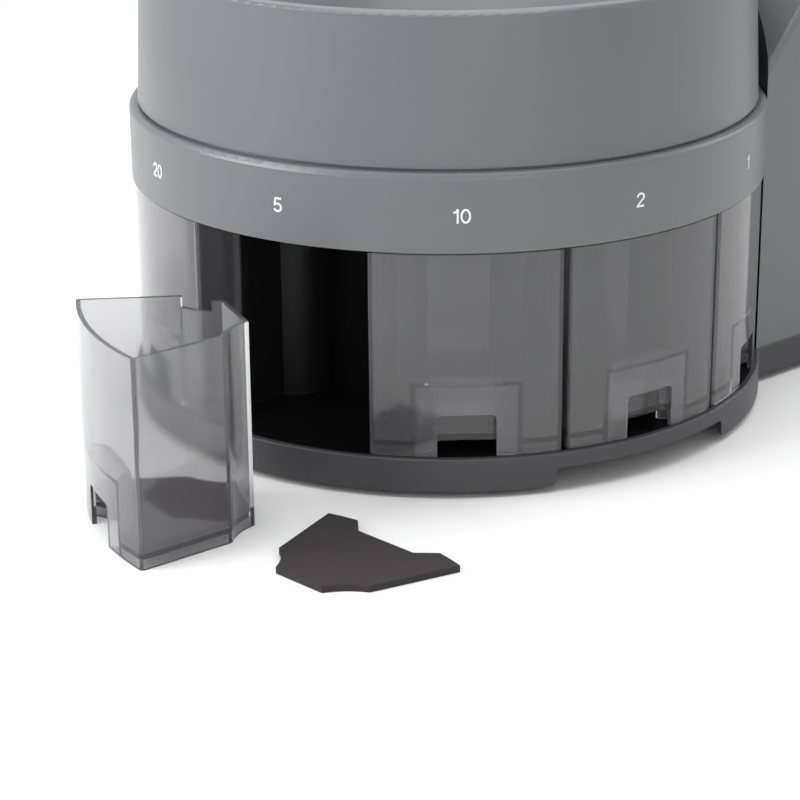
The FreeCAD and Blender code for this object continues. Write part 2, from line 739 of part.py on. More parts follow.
def build_sorting_works():
    """Chute deck, band, sorting head, posts and exit sensors."""
    deck = lathe(
        "chute_blank",
        bearing_boss(UPPER_BEARING, CHUTE_TOP)
        + [(BOSS_RADIUS, CHUTE_BOTTOM), (CHUTE_RADIUS, CHUTE_BOTTOM), (CHUTE_RADIUS, CHUTE_TOP)],
    )
    slots = []
    grooves = []
    sensors = []
    sensor_circle = BAND_INNER - S.sensor_wall_gap - S.sensor_length / 2
    for number, coin in enumerate(COIN_DIAMETERS, start=1):
        slot = box("slot_block%d" % number, S.slot_width, S.slot_length, S.chute_thickness)
        place(slot, -S.slot_width / 2, -(HEAD_OUTER + S.slot_gap + S.slot_length), CHUTE_BOTTOM)
        slots.append(copy_of("slot%d" % number, slot, turn=station(number)))
        groove = box("groove_block%d" % number, coin + S.coin_clearance, HEAD_OUTER, S.head_groove_depth)
        groove_far = HEAD_OUTER + HEAD_INNER + S.head_groove_start
        place(groove, -(coin + S.coin_clearance) / 2, -groove_far, HEAD_BOTTOM)
        grooves.append(copy_of("groove%d" % number, groove, turn=station(number)))
        x, y = polar(sensor_circle, station(number) + S.sensor_angle)
        sensor = box("sensor_block%d" % number, S.sensor_width, S.sensor_length, S.sensor_height)
        place(sensor, -S.sensor_width / 2, -S.sensor_length / 2, 0)
        turn = station(number) + S.sensor_angle
        sensors.append(copy_of("sensor%d" % number, sensor, x, y, CHUTE_TOP, turn))
    keep("chute_deck", cut("chute_deck", deck, *slots))
    keep("exit_sensors", group("exit_sensors", sensors))
    ring = cut(
        "head_ring",
        cylinder("head_disc", HEAD_OUTER, S.head_thickness, z=HEAD_BOTTOM),
        cylinder("head_eye", HEAD_INNER, S.head_thickness, z=HEAD_BOTTOM),
    )
    keep("sorting_head", cut("sorting_head", ring, *grooves))
    posts = []
    for number in range(CUP_COUNT):
        turn = 180 if number == 0 else S.cup_pitch * (number - CUP_COUNT / 2.0)
        x, y = polar(HEAD_OUTER - S.post_inset, turn)
        posts.append(cylinder("post%d" % number, S.post_radius, HEAD_BOTTOM - CHUTE_TOP, x, y, CHUTE_TOP))
    keep("head_posts", group("head_posts", posts))
    inner = BAND_INNER
    shelf = inner - S.band_wall
    flange = S.drum_radius - S.band_flange_width
    band = lathe(
        "band_blank",
        [
            (inner, BAND_BOTTOM), (S.drum_radius, BAND_BOTTOM), (S.drum_radius, BAND_TOP),
            (flange, BAND_TOP), (flange, BAND_TOP - S.band_wall),
            (inner, BAND_TOP - S.band_wall), (inner, CHUTE_TOP + S.band_wall),
            (shelf, CHUTE_TOP + S.band_wall), (shelf, CHUTE_TOP), (inner, CHUTE_TOP),
        ],
    )
    keep("label_band", rounded(
        "label_band", band, S.edge_round,
        lambda edge: edge.BoundBox.ZMin > BAND_TOP.value - TOUCH
        and edge.BoundBox.XMax > S.drum_radius.value - TOUCH,
    ))


def build_turntable():
    """Turntable, its rubber facing, the cone, the spindle and its two bearings."""
    bore = S.spindle_radius
    hub_bottom = TABLE_BOTTOM - S.turntable_hub_height
    keep("turntable", lathe("turntable", [
        (bore, hub_bottom), (S.turntable_hub_radius, hub_bottom), (S.turntable_hub_radius, TABLE_BOTTOM),
        (TABLE_RADIUS, TABLE_BOTTOM), (TABLE_RADIUS, TABLE_TOP), (bore, TABLE_TOP),
    ]))
    keep("turntable_facing", lathe("turntable_facing", [
        (bore, TABLE_TOP), (TABLE_RADIUS, TABLE_TOP), (TABLE_RADIUS, PAD_TOP), (bore, PAD_TOP),
    ]))
    cone_top = PAD_TOP + S.cone_height
    cone = lathe("cone_blank", [
        (bore, PAD_TOP), (S.cone_radius, PAD_TOP), (S.cone_radius, PAD_TOP + S.cone_foot),
        (S.cone_tip_radius, cone_top), (ZERO, cone_top), (ZERO, SPINDLE_TOP), (bore, SPINDLE_TOP),
    ])
    keep("spreader_cone", rounded(
        "spreader_cone", cone, S.cone_tip_radius / 2,
        lambda edge: edge.BoundBox.ZMin > cone_top.value - TOUCH
        and edge.BoundBox.XMax > S.cone_tip_radius.value - TOUCH,
    ))
    spindle_bottom = LOWER_BEARING
    keep("spindle", lathe("spindle", [
        (ZERO, spindle_bottom), (bore, spindle_bottom), (bore, PLATE_TOP + S.running_clearance),
        (S.spindle_collar_radius, PLATE_TOP + S.running_clearance), (S.spindle_collar_radius, GEAR_BOTTOM),
        (bore, GEAR_BOTTOM), (bore, SPINDLE_TOP), (ZERO, SPINDLE_TOP),
    ]))
    rings = []
    for name, bottom in (("lower_bearing", LOWER_BEARING), ("upper_bearing", UPPER_BEARING)):
        ring_bore = bore + S.running_clearance
        top = bottom + S.bearing_height
        rings.append(lathe(name, [
            (ring_bore, bottom), (S.bearing_radius, bottom), (S.bearing_radius, top), (ring_bore, top),
        ]))
    keep("spindle_bearings", group("spindle_bearings", rings))


def gear_face(teeth, module, backlash, bore):
    """Flat face of an involute spur gear with its first tooth centred on +X."""
    pressure = math.radians(PRESSURE_ANGLE)
    pitch = module * teeth / 2
    base = pitch * math.cos(pressure)
    tip = pitch + module * TOOTH_TIP
    root = pitch - module * TOOTH_ROOT
    half_tooth = (math.pi * module / 2 - backlash) / pitch / 2
    flank_zero = half_tooth + math.tan(pressure) - pressure
    start = max(base, root)
    flank = []
    for step in range(FLANK_STEPS + 1):
        radius = start + (tip - start) * step / FLANK_STEPS
        roll = math.acos(min(1.0, base / radius))
        flank.append((radius, flank_zero - (math.tan(roll) - roll)))
    if root < start:
        flank.insert(0, (root, flank[0][1]))
    edges = []
    for tooth in range(teeth):
        centre = 2 * math.pi * tooth / teeth
        rise = [(r, centre - a) for r, a in flank]
        fall = [(r, centre + a) for r, a in reversed(flank)]
        corners = [FreeCAD.Vector(r * math.cos(a), r * math.sin(a), 0) for r, a in rise + fall]
        after = 2 * math.pi * (tooth + 1) / teeth - flank[0][1]
        corners.append(FreeCAD.Vector(flank[0][0] * math.cos(after), flank[0][0] * math.sin(after), 0))
        edges += [Part.LineSegment(a, b).toShape() for a, b in zip(corners, corners[1:])]
    return Part.Face(Part.Wire(edges)).cut(Part.Face(Part.Wire([Part.makeCircle(bore)])))


def gear(label, teeth, bore, x, y, turn):
    """Spur gear between the gear levels."""
    face = gear_face(int(teeth.value), S.gear_module.value, S.gear_backlash.value, bore.value)
    obj = DOC.addObject("Part::Feature", label)
    obj.Shape = face.extrude(FreeCAD.Vector(0, 0, S.gear_thickness.value))
    spin = FreeCAD.Rotation(FreeCAD.Vector(0, 0, 1), turn)
    obj.Placement = FreeCAD.Placement(FreeCAD.Vector(x.value, y.value, GEAR_BOTTOM.value), spin)
    return keep(label, obj)


def build_drive():
    """Motor plate with its legs, motor, motor shaft, pinion and drive gear."""
    x, y = polar(GEAR_CENTRES, MOTOR_ANGLE)
    blank = lathe(
        "plate_blank",
        bearing_boss(LOWER_BEARING, PLATE_TOP)
        + [(BOSS_RADIUS, PLATE_BOTTOM), (PLATE_RADIUS, PLATE_BOTTOM),
           (PLATE_RADIUS, PLATE_TOP)],
    )
    nose = cylinder("plate_nose_hole", S.motor_nose_radius + S.hole_clearance, S.motor_plate_thickness,
                    x, y, PLATE_BOTTOM)
    posts = []
    for number, angle in enumerate(LEG_ANGLES):
        post_x, post_y = polar(PLATE_RADIUS - S.leg_inset, angle)
        posts.append(cylinder("motor_leg%d" % number, S.leg_radius, S.motor_plate_height,
                              post_x, post_y, BASE_TOP))
    keep("motor_plate", fuse("motor_plate", cut("motor_plate_top", blank, nose), *posts))
    can = cylinder("motor_can", S.motor_radius, S.motor_length, x, y, PLATE_BOTTOM - S.motor_length)
    boss = cylinder("motor_nose", S.motor_nose_radius, S.motor_nose_height, x, y, PLATE_BOTTOM)
    depth = S.motor_length / 2 + S.motor_nose_height
    bore = cylinder("motor_bore", S.motor_shaft_radius + S.running_clearance, depth, x, y,
                    PLATE_BOTTOM + S.motor_nose_height - depth)
    keep("drive_motor", cut("drive_motor", fuse("motor_solid", can, boss), bore))
    shaft_bottom = PLATE_BOTTOM + S.motor_nose_height - depth + S.running_clearance
    keep("motor_shaft", cylinder("motor_shaft", S.motor_shaft_radius, GEAR_TOP - shaft_bottom, x, y,
                                 shaft_bottom))
    gear("drive_gear", S.gear_teeth, S.spindle_radius, ZERO, ZERO, QUARTER_TURN)
    half_pitch = 180.0 / S.pinion_teeth.value
    gear("motor_pinion", S.pinion_teeth, S.motor_shaft_radius, x, y, half_pitch - QUARTER_TURN)


def build_hopper():
    """Double-walled hopper that stands on the band's top."""
    seat = BAND_TOP + S.hopper_foot
    top = BAND_TOP + S.hopper_height
    throat = HEAD_TOP + S.hopper_throat_gap
    wall = S.hopper_wall
    skirt = S.drum_radius - S.hopper_setback
    rim = skirt - S.hopper_taper
    skirt_in = skirt - wall
    rim_in = rim - wall
    blank = lathe("hopper_blank", [
        (skirt, seat), (rim, top), (rim - S.hopper_lip, top),
        (THROAT_RADIUS, throat + S.hopper_collar), (THROAT_RADIUS, throat),
        (THROAT_RADIUS + wall, throat),
        (THROAT_RADIUS + wall, throat + S.hopper_collar - wall),
        (rim_in, top - wall), (skirt_in, BAND_TOP), (skirt_in + wall / 2, BAND_TOP),
        (skirt_in + wall / 2, seat),
    ])
    keep("hopper", rounded(
        "hopper", blank, wall / 2,
        lambda edge: edge.BoundBox.ZMin > top.value - TOUCH and edge.BoundBox.XLength > 1,
    ))


def slope_frame(along, out):
    """Placement on the console's slope: along it from its upper edge, and out from it."""
    tilt = math.radians(S.panel_tilt.value)
    edge_y = S.console_back.value - S.console_ledge.value
    y = edge_y - along * math.cos(tilt) - out * math.sin(tilt)
    z = S.console_height.value - along * math.sin(tilt) + out * math.cos(tilt)
    turn = FreeCAD.Rotation(FreeCAD.Vector(1, 0, 0), S.panel_tilt.value)
    return FreeCAD.Placement(FreeCAD.Vector(0, y, z), turn)


def on_slope(label, local):
    """Sub-part made flat at the panel's centre, laid on the console's slope."""
    obj = DOC.addObject("Part::Compound", label)
    obj.Links = [local]
    obj.Placement = slope_frame(S.panel_margin.value + S.panel_depth.value / 2, 0.0)
    return obj


def console_solid(name, inset, bottom):
    """Console block pulled in by an inset, with its slope and the drum's hollow."""
    half = S.console_half_width - inset
    back = S.console_back - inset
    top = S.console_height - inset
    front = (S.drum_radius - S.console_overlap).value
    tilt = S.panel_tilt
    edge_y = S.console_back - S.console_ledge
    crest_y = edge_y + inset * (tilt / 2).tan()
    foot_z = top - (crest_y - front) * tilt.tan()
    points = [(front, bottom), (back, bottom), (back, top), (crest_y, top), (front, foot_z)]
    prism = slab(name + "_prism", points, half * 2, plane="YZ_Plane")
    place(prism, -half, 0, 0)
    radius = S.console_round - inset
    soft = rounded(
        name + "_soft", prism, radius,
        lambda edge: is_upright(edge) and edge.CenterOfMass.y > back.value - TOUCH,
    )
    drum = cylinder(name + "_drum", S.drum_radius + S.console_gap + inset, S.console_height * 2, z=ZERO)
    return cut(name, soft, drum)


def softened_console():
    """Outer console block with its top and slope edges rounded."""
    block = console_solid("console_block", ZERO, BASE_TOP)
    half = S.console_half_width.value
    low = BASE_TOP.value + 1

    def wanted(edge):
        bounds = edge.BoundBox
        side = bounds.XLength < TOUCH and abs(abs(edge.CenterOfMass.x) - half) < TOUCH
        sloped = side and bounds.ZMin > low and bounds.YLength > 1
        crown = bounds.ZMin > S.console_height.value - TOUCH
        return sloped or crown

    return rounded("console_outer", block, S.console_edge, wanted)


def build_console():
    """Console shell with its panel opening, rear openings, vents and board posts."""
    outer = softened_console()
    inner = console_solid("console_inner", S.console_wall, BASE_TOP)
    shell = cut("console_walls", outer, inner)
    well = box(
        "console_well_block", S.panel_width - S.panel_overlap * 2,
        S.panel_depth - S.panel_overlap * 2, S.console_wall * 6,
    )
    place(well, -(S.panel_width / 2 - S.panel_overlap), -(S.panel_depth / 2 - S.panel_overlap),
          -(S.console_wall * 3))
    tools = [on_slope("console_well", well)]
    for name, x, width, height in (
        ("inlet", S.inlet_x, S.inlet_width, S.inlet_height),
        ("rocker", S.rocker_x, S.rocker_width + S.rocker_frame_wall * 2,
         S.rocker_height + S.rocker_frame_wall * 2),
        ("port", S.port_x, S.port_width, S.port_height),
    ):
        grow = S.fitting_gap * 2
        tools.append(box("console_%s_hole" % name, width + grow, S.console_wall * 2, height + grow, x,
                         BACK_INNER - S.console_wall / 2, FITTING_Z - (height + grow) / 2))
    for number in range(VENT_COUNT):
        for side in (-1, 1):
            x = side * S.vent_spread / 2
            tools.append(box("vent%d_%d" % (number, side), S.vent_width, S.console_wall * 2, S.vent_height,
                             x, BACK_INNER - S.console_wall / 2, S.vent_level + number * S.vent_pitch))
    posts = []
    for x_side in (-1, 1):
        for z_side in (0, 1):
            x = x_side * (S.main_board_width / 2 - S.board_margin)
            z = S.main_board_level + S.board_margin + z_side * (S.main_board_height - S.board_margin * 2)
            post = box("console_post%d_%d" % (x_side, z_side), S.board_margin, S.main_board_gap,
                       S.board_margin, x, BACK_INNER - S.main_board_gap, z - S.board_margin / 2)
            posts.append(post)
    keep("console_shell", fuse("console_case", cut("console_open", shell, *tools), *posts))
    keep("main_board", box("main_board", S.main_board_width, S.board_thickness, S.main_board_height, 0,
                           BACK_INNER - S.main_board_gap - S.board_thickness, S.main_board_level))
    keep("power_supply", box("power_supply", S.supply_width, S.supply_depth, S.supply_height, 0,
                             S.supply_y, BASE_TOP))


def key_spot(index):
    """Centre of a key on the panel."""
    column = index % KEY_COLUMNS
    row = index // KEY_COLUMNS
    u = S.key_field_start + KEY_PITCH * (column + 0.5)
    v = S.key_row_pitch * (0.5 - row)
    return u, v


def flat_block(name, width, depth, height, u, v, w, radius=None):
    """Block centred on u and v that starts at w, with upright edges rounded if wanted."""
    block = box(name, width, depth, height)
    place(block, u - Size.of(width) / 2, v - Size.of(depth) / 2, w)
    return rounded(name + "_round", block, radius, is_upright) if radius else block


def build_panel():
    """Control panel with its window, lens, display, board, switches and keys."""
    plate = flat_block("panel_plate", S.panel_width, S.panel_depth, S.panel_thickness, 0, 0, 0, S.panel_round)
    lens_width = S.window_width + S.lens_border * 2
    lens_depth = S.window_depth + S.lens_border * 2
    grow = S.lens_clearance * 2
    tools = [
        flat_block("panel_window", S.window_width, S.window_depth, S.panel_thickness, S.window_centre, 0, 0),
        flat_block("panel_rebate", lens_width + grow, lens_depth + grow, S.lens_thickness, S.window_centre, 0,
                   S.panel_thickness - S.lens_thickness),
    ]
    board_width = S.panel_width - (S.panel_overlap + S.board_margin) * 2
    board_depth = S.panel_depth - (S.panel_overlap + S.board_margin) * 2
    bosses = []
    for x_side in (-1, 1):
        for y_side in (-1, 1):
            bosses.append(cylinder(
                "panel_boss%d_%d" % (x_side, y_side), S.panel_boss_radius, S.board_drop,
                x_side * (board_width / 2 - S.panel_boss_radius),
                y_side * (board_depth / 2 - S.panel_boss_radius), -S.board_drop,
            ))
    switches = []
    for index, name in enumerate(KEY_NAMES):
        u, v = key_spot(index)
        gap = S.key_clearance * 2
        tools.append(flat_block("panel_%s_hole" % name, KEY_WIDTH + gap, S.key_depth + gap,
                                S.panel_thickness, u, v, 0, S.key_round + S.key_clearance))
        cap = flat_block("key_%s_cap" % name, KEY_WIDTH, S.key_depth,
                         S.panel_thickness + S.key_rise + S.key_flange_height, u, v, -S.key_flange_height,
                         S.key_round)
        flange = flat_block("key_%s_flange" % name, KEY_WIDTH + S.key_flange * 2,
                            S.key_depth + S.key_flange * 2, S.key_flange_height, u, v,
                            -(S.key_flange_height + S.running_clearance), S.key_round)
        keep("key_" + name, on_slope("key_" + name, fuse("key_%s_solid" % name, cap, flange)))
        rise = S.board_drop - S.key_flange_height - S.running_clearance * 2 - S.key_travel
        switches.append(flat_block("switch_" + name, S.switch_size, S.switch_size, rise, u, v,
                                   -S.board_drop))
    keep("control_panel", on_slope("control_panel", fuse(
        "panel_full", cut("panel_open", plate, *tools), *bosses)))
    keep("display_lens", on_slope("display_lens", flat_block(
        "lens_block", lens_width, lens_depth, S.lens_thickness, S.window_centre, 0,
        S.panel_thickness - S.lens_thickness)))
    keep("lcd_module", on_slope("lcd_module", flat_block(
        "lcd_block", S.window_width + S.lcd_rim * 2, S.window_depth + S.lcd_rim * 2, S.board_drop,
        S.window_centre, 0, -S.board_drop)))
    keep("key_board", on_slope("key_board", flat_block(
        "board_block", board_width, board_depth, S.board_thickness, 0, 0,
        -(S.board_drop + S.board_thickness))))
    keep("key_switches", on_slope("key_switches", group("switch_blocks", switches)))


def build_fittings():
    """Power inlet with its blades, rocker switch and printer socket in the back wall."""
    inner_y = S.console_back - S.inlet_depth
    low_z = FITTING_Z - S.inlet_height / 2
    can = box("inlet_can", S.inlet_width, S.inlet_depth, S.inlet_height, S.inlet_x, inner_y, low_z)
    flange = box("inlet_rim", S.inlet_width + S.inlet_flange * 2, S.inlet_flange_thickness,
                 S.inlet_height + S.inlet_flange * 2, S.inlet_x, S.console_back, low_z - S.inlet_flange)
    socket = box("inlet_socket", S.inlet_width - S.inlet_wall * 2,
                 S.inlet_socket_depth, S.inlet_height - S.inlet_wall * 2, S.inlet_x,
                 S.console_back + S.inlet_flange_thickness - S.inlet_socket_depth, low_z + S.inlet_wall)
    floor_y = S.console_back + S.inlet_flange_thickness - S.inlet_socket_depth
    keep("power_inlet", cut("power_inlet", fuse("inlet_solid", can, flange), socket))
    blades = []
    low = -S.blade_drop
    spots = ((-S.blade_spread / 2, low), (S.blade_spread / 2, low), (ZERO, S.blade_rise))
    for number, (x, z) in enumerate(spots):
        blades.append(box("blade%d" % number, S.blade_width, S.blade_length, S.blade_height,
                          S.inlet_x + x, floor_y, FITTING_Z + z - S.blade_height / 2))
    keep("inlet_blades", group("inlet_blades", blades))
    build_rocker()
    port = box("port_can", S.port_width, S.port_depth, S.port_height, S.port_x,
               S.console_back + S.fitting_gap - S.port_depth, FITTING_Z - S.port_height / 2)
    mouth = box("port_mouth", S.port_width - S.port_wall * 2, S.port_depth - S.port_wall,
                S.port_height - S.port_wall * 2, S.port_x,
                S.console_back + S.fitting_gap - S.port_depth + S.port_wall,
                FITTING_Z - S.port_height / 2 + S.port_wall)
    keep("printer_socket", cut("printer_socket", port, mouth))


def build_rocker():
    """Rocker switch: a frame with two pivot pins and a tilted rocker between them."""
    wall = S.rocker_frame_wall
    width = S.rocker_width + wall * 2
    height = S.rocker_height + wall * 2
    front = S.console_back + S.rocker_frame_rise
    low_z = FITTING_Z - height / 2
    can = box("rocker_can", width, S.rocker_frame_depth, height, S.rocker_x,
              front - S.rocker_frame_depth, low_z)
    mouth = box("rocker_mouth", S.rocker_width, S.rocker_frame_depth - wall, S.rocker_height, S.rocker_x,
                front - S.rocker_frame_depth + wall, low_z + wall)
    lip = box("rocker_lip", width + wall * 2, S.rocker_frame_rise, height + wall * 2, S.rocker_x,
              S.console_back, low_z - wall)
    gap = box("rocker_gap", S.rocker_width, S.rocker_frame_rise, S.rocker_height, S.rocker_x,
              S.console_back, low_z + wall)
    pins = []
    for side in (-1, 1):
        pin = cylinder("rocker_pin%d" % side, S.rocker_pin_radius, wall)
        start = S.rocker_x + side * (S.rocker_width / 2) - wall / 2
        pins.append(place(pin, start, S.console_back, FITTING_Z, 90, ACROSS))
    frame = fuse("rocker_frame_solid", cut("rocker_frame_open", fuse("rocker_shell", can, lip), mouth, gap),
                 *pins)
    keep("rocker_frame", frame)
    span = S.rocker_height - S.rocker_end_gap * 2
    half = S.rocker_thickness / 2
    bend = S.rocker_tilt.tan() * (span / 2)
    profile = [
        (-half, -span / 2), (half + bend, -span / 2), (half, ZERO), (half + bend, span / 2),
        (-half, span / 2),
    ]
    wing = slab("rocker_wing", profile, S.rocker_width - S.rocker_clearance * 2, plane="YZ_Plane")
    place(wing, -(S.rocker_width / 2 - S.rocker_clearance), 0, 0)
    eye = cylinder("rocker_eye", S.rocker_pin_radius + S.running_clearance, S.rocker_width)
    place(eye, -S.rocker_width / 2, 0, 0, 90, ACROSS)
    local = cut("rocker_solid", wing, eye)
    obj = DOC.addObject("Part::Compound", "power_rocker")
    obj.Links = [local]
    tilt = FreeCAD.Rotation(FreeCAD.Vector(1, 0, 0), -S.rocker_tilt.value)
    spot = FreeCAD.Vector(S.rocker_x.value, S.console_back.value, FITTING_Z.value)
    obj.Placement = FreeCAD.Placement(spot, tilt)
    keep("power_rocker", obj)


def check_and_write():
    """Stop on any failed object or bad shape, then write one file per sub-part."""
    DOC.recompute()
    for obj in DOC.Objects:
        if "Invalid" in obj.State or "Error" in obj.State:
            raise RuntimeError("failed object: " + obj.Label)
    for piece in PIECES:
        if piece.Shape.isNull() or not piece.Shape.isValid() or not piece.Shape.Solids:
            raise RuntimeError("bad shape: " + piece.Label)
    os.makedirs("parts", exist_ok=True)
    for piece in PIECES:
        piece.Shape.exportStep("parts/%s.step" % piece.Label)
    print(len(PIECES), "sub-parts written")


build_base()
build_underside()
build_core()
build_cups()
build_sorting_works()
build_turntable()
build_drive()
build_hopper()
build_console()
build_panel()
build_fittings()
check_and_write()
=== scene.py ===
"""Looks of a desk coin sorting machine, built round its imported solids.

The solids keep their own shapes and get finishes made from shader nodes. Foam pads, printed numbers,
key symbols and the display's digits are added here, each riding on the body that carries it.
Everything is in metres, in the frame of the solids: the drum's axis is Z and the console stands at +Y.
"""

import json
import logging
import math
from dataclasses import dataclass, field
from enum import Enum
from functools import partial
from typing import Any, Callable, Dict, List, Optional, Protocol, Sequence, Tuple, Union

import bmesh
import bpy
from mathutils import Matrix, Vector

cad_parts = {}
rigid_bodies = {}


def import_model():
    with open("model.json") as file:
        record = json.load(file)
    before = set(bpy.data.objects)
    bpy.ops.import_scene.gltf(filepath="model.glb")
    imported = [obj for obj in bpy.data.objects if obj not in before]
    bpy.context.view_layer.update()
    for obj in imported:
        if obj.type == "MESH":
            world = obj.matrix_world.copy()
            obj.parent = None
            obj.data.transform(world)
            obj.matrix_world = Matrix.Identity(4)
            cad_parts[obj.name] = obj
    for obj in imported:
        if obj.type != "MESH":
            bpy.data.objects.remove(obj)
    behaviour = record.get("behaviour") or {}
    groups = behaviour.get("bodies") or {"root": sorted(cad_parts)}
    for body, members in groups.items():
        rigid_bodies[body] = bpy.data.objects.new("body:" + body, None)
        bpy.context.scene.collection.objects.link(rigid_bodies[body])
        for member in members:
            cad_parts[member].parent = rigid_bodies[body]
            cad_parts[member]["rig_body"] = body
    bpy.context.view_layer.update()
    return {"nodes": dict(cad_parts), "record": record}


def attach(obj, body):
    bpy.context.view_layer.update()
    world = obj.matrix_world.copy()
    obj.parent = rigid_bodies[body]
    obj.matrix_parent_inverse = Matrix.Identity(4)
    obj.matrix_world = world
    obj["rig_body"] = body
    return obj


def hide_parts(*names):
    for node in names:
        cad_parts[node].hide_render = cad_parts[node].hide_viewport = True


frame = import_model()

LOG = logging.getLogger("coin_sorter")
MM = 0.001
WHITE = (1.0, 1.0, 1.0, 1.0)
VIEW_SPIN = Matrix.Rotation(math.radians(47.8), 4, "Z")
Colour = Tuple[float, float, float]
Point = Tuple[float, float]
Spread = Tuple[float, float]


def axis_range(values: Sequence[float]) -> Tuple[float, float]:
    """Least and greatest of some values."""
    return min(values), max(values)


def shade(colour: Colour, factor: float) -> Tuple[float, float, float, float]:
    """A colour made lighter or darker, with its fourth number."""
    return (colour[0] * factor, colour[1] * factor, colour[2] * factor, 1.0)


class Wire:
    """A shader socket whose arithmetic adds Math nodes to its tree."""

    def __init__(self, bench: "Bench", socket: bpy.types.NodeSocket) -> None:
        """Wrap one output socket of the bench's tree."""
        self.bench = bench
        self.socket = socket

    def _math(self, operation: str, first: "Feed", second: "Feed") -> "Wire":
        """Add one Math node on two values."""
        return self.bench.node("ShaderNodeMath", {"operation": operation}, {0: first, 1: second})

    def __add__(self, other: "Feed") -> "Wire":
        """Sum of two values."""
        return self._math("ADD", self, other)

    def __radd__(self, other: "Feed") -> "Wire":
        """Sum with a plain number first."""
        return self._math("ADD", other, self)

    def __sub__(self, other: "Feed") -> "Wire":
        """Difference of two values."""
        return self._math("SUBTRACT", self, other)

    def __rsub__(self, other: "Feed") -> "Wire":
        """Difference with a plain number first."""
        return self._math("SUBTRACT", other, self)

    def __mul__(self, other: "Feed") -> "Wire":
        """Product of two values."""
        return self._math("MULTIPLY", self, other)

    def __rmul__(self, other: "Feed") -> "Wire":
        """Product with a plain number first."""
        return self._math("MULTIPLY", other, self)

    def __pow__(self, other: "Feed") -> "Wire":
        """Power of a value."""
        return self._math("POWER", self, other)

    def __gt__(self, other: "Feed") -> "Wire":
        """One where the value is above the other, else zero."""
        return self._math("GREATER_THAN", self, other)

    def clear_of(self, low: float, high: float) -> "Wire":
        """Map a range of this value to zero to one, smoothly and clamped.

        Args:
            low: Value that gives zero.
            high: Value that gives one.

        Returns:
            The mapped value.
        """
        settings = {"interpolation_type": "SMOOTHSTEP"}
        return self.bench.node("ShaderNodeMapRange", settings, {0: self, 1: low, 2: high, 3: 0.0, 4: 1.0})


Feed = Union[Wire, float, Sequence[float]]


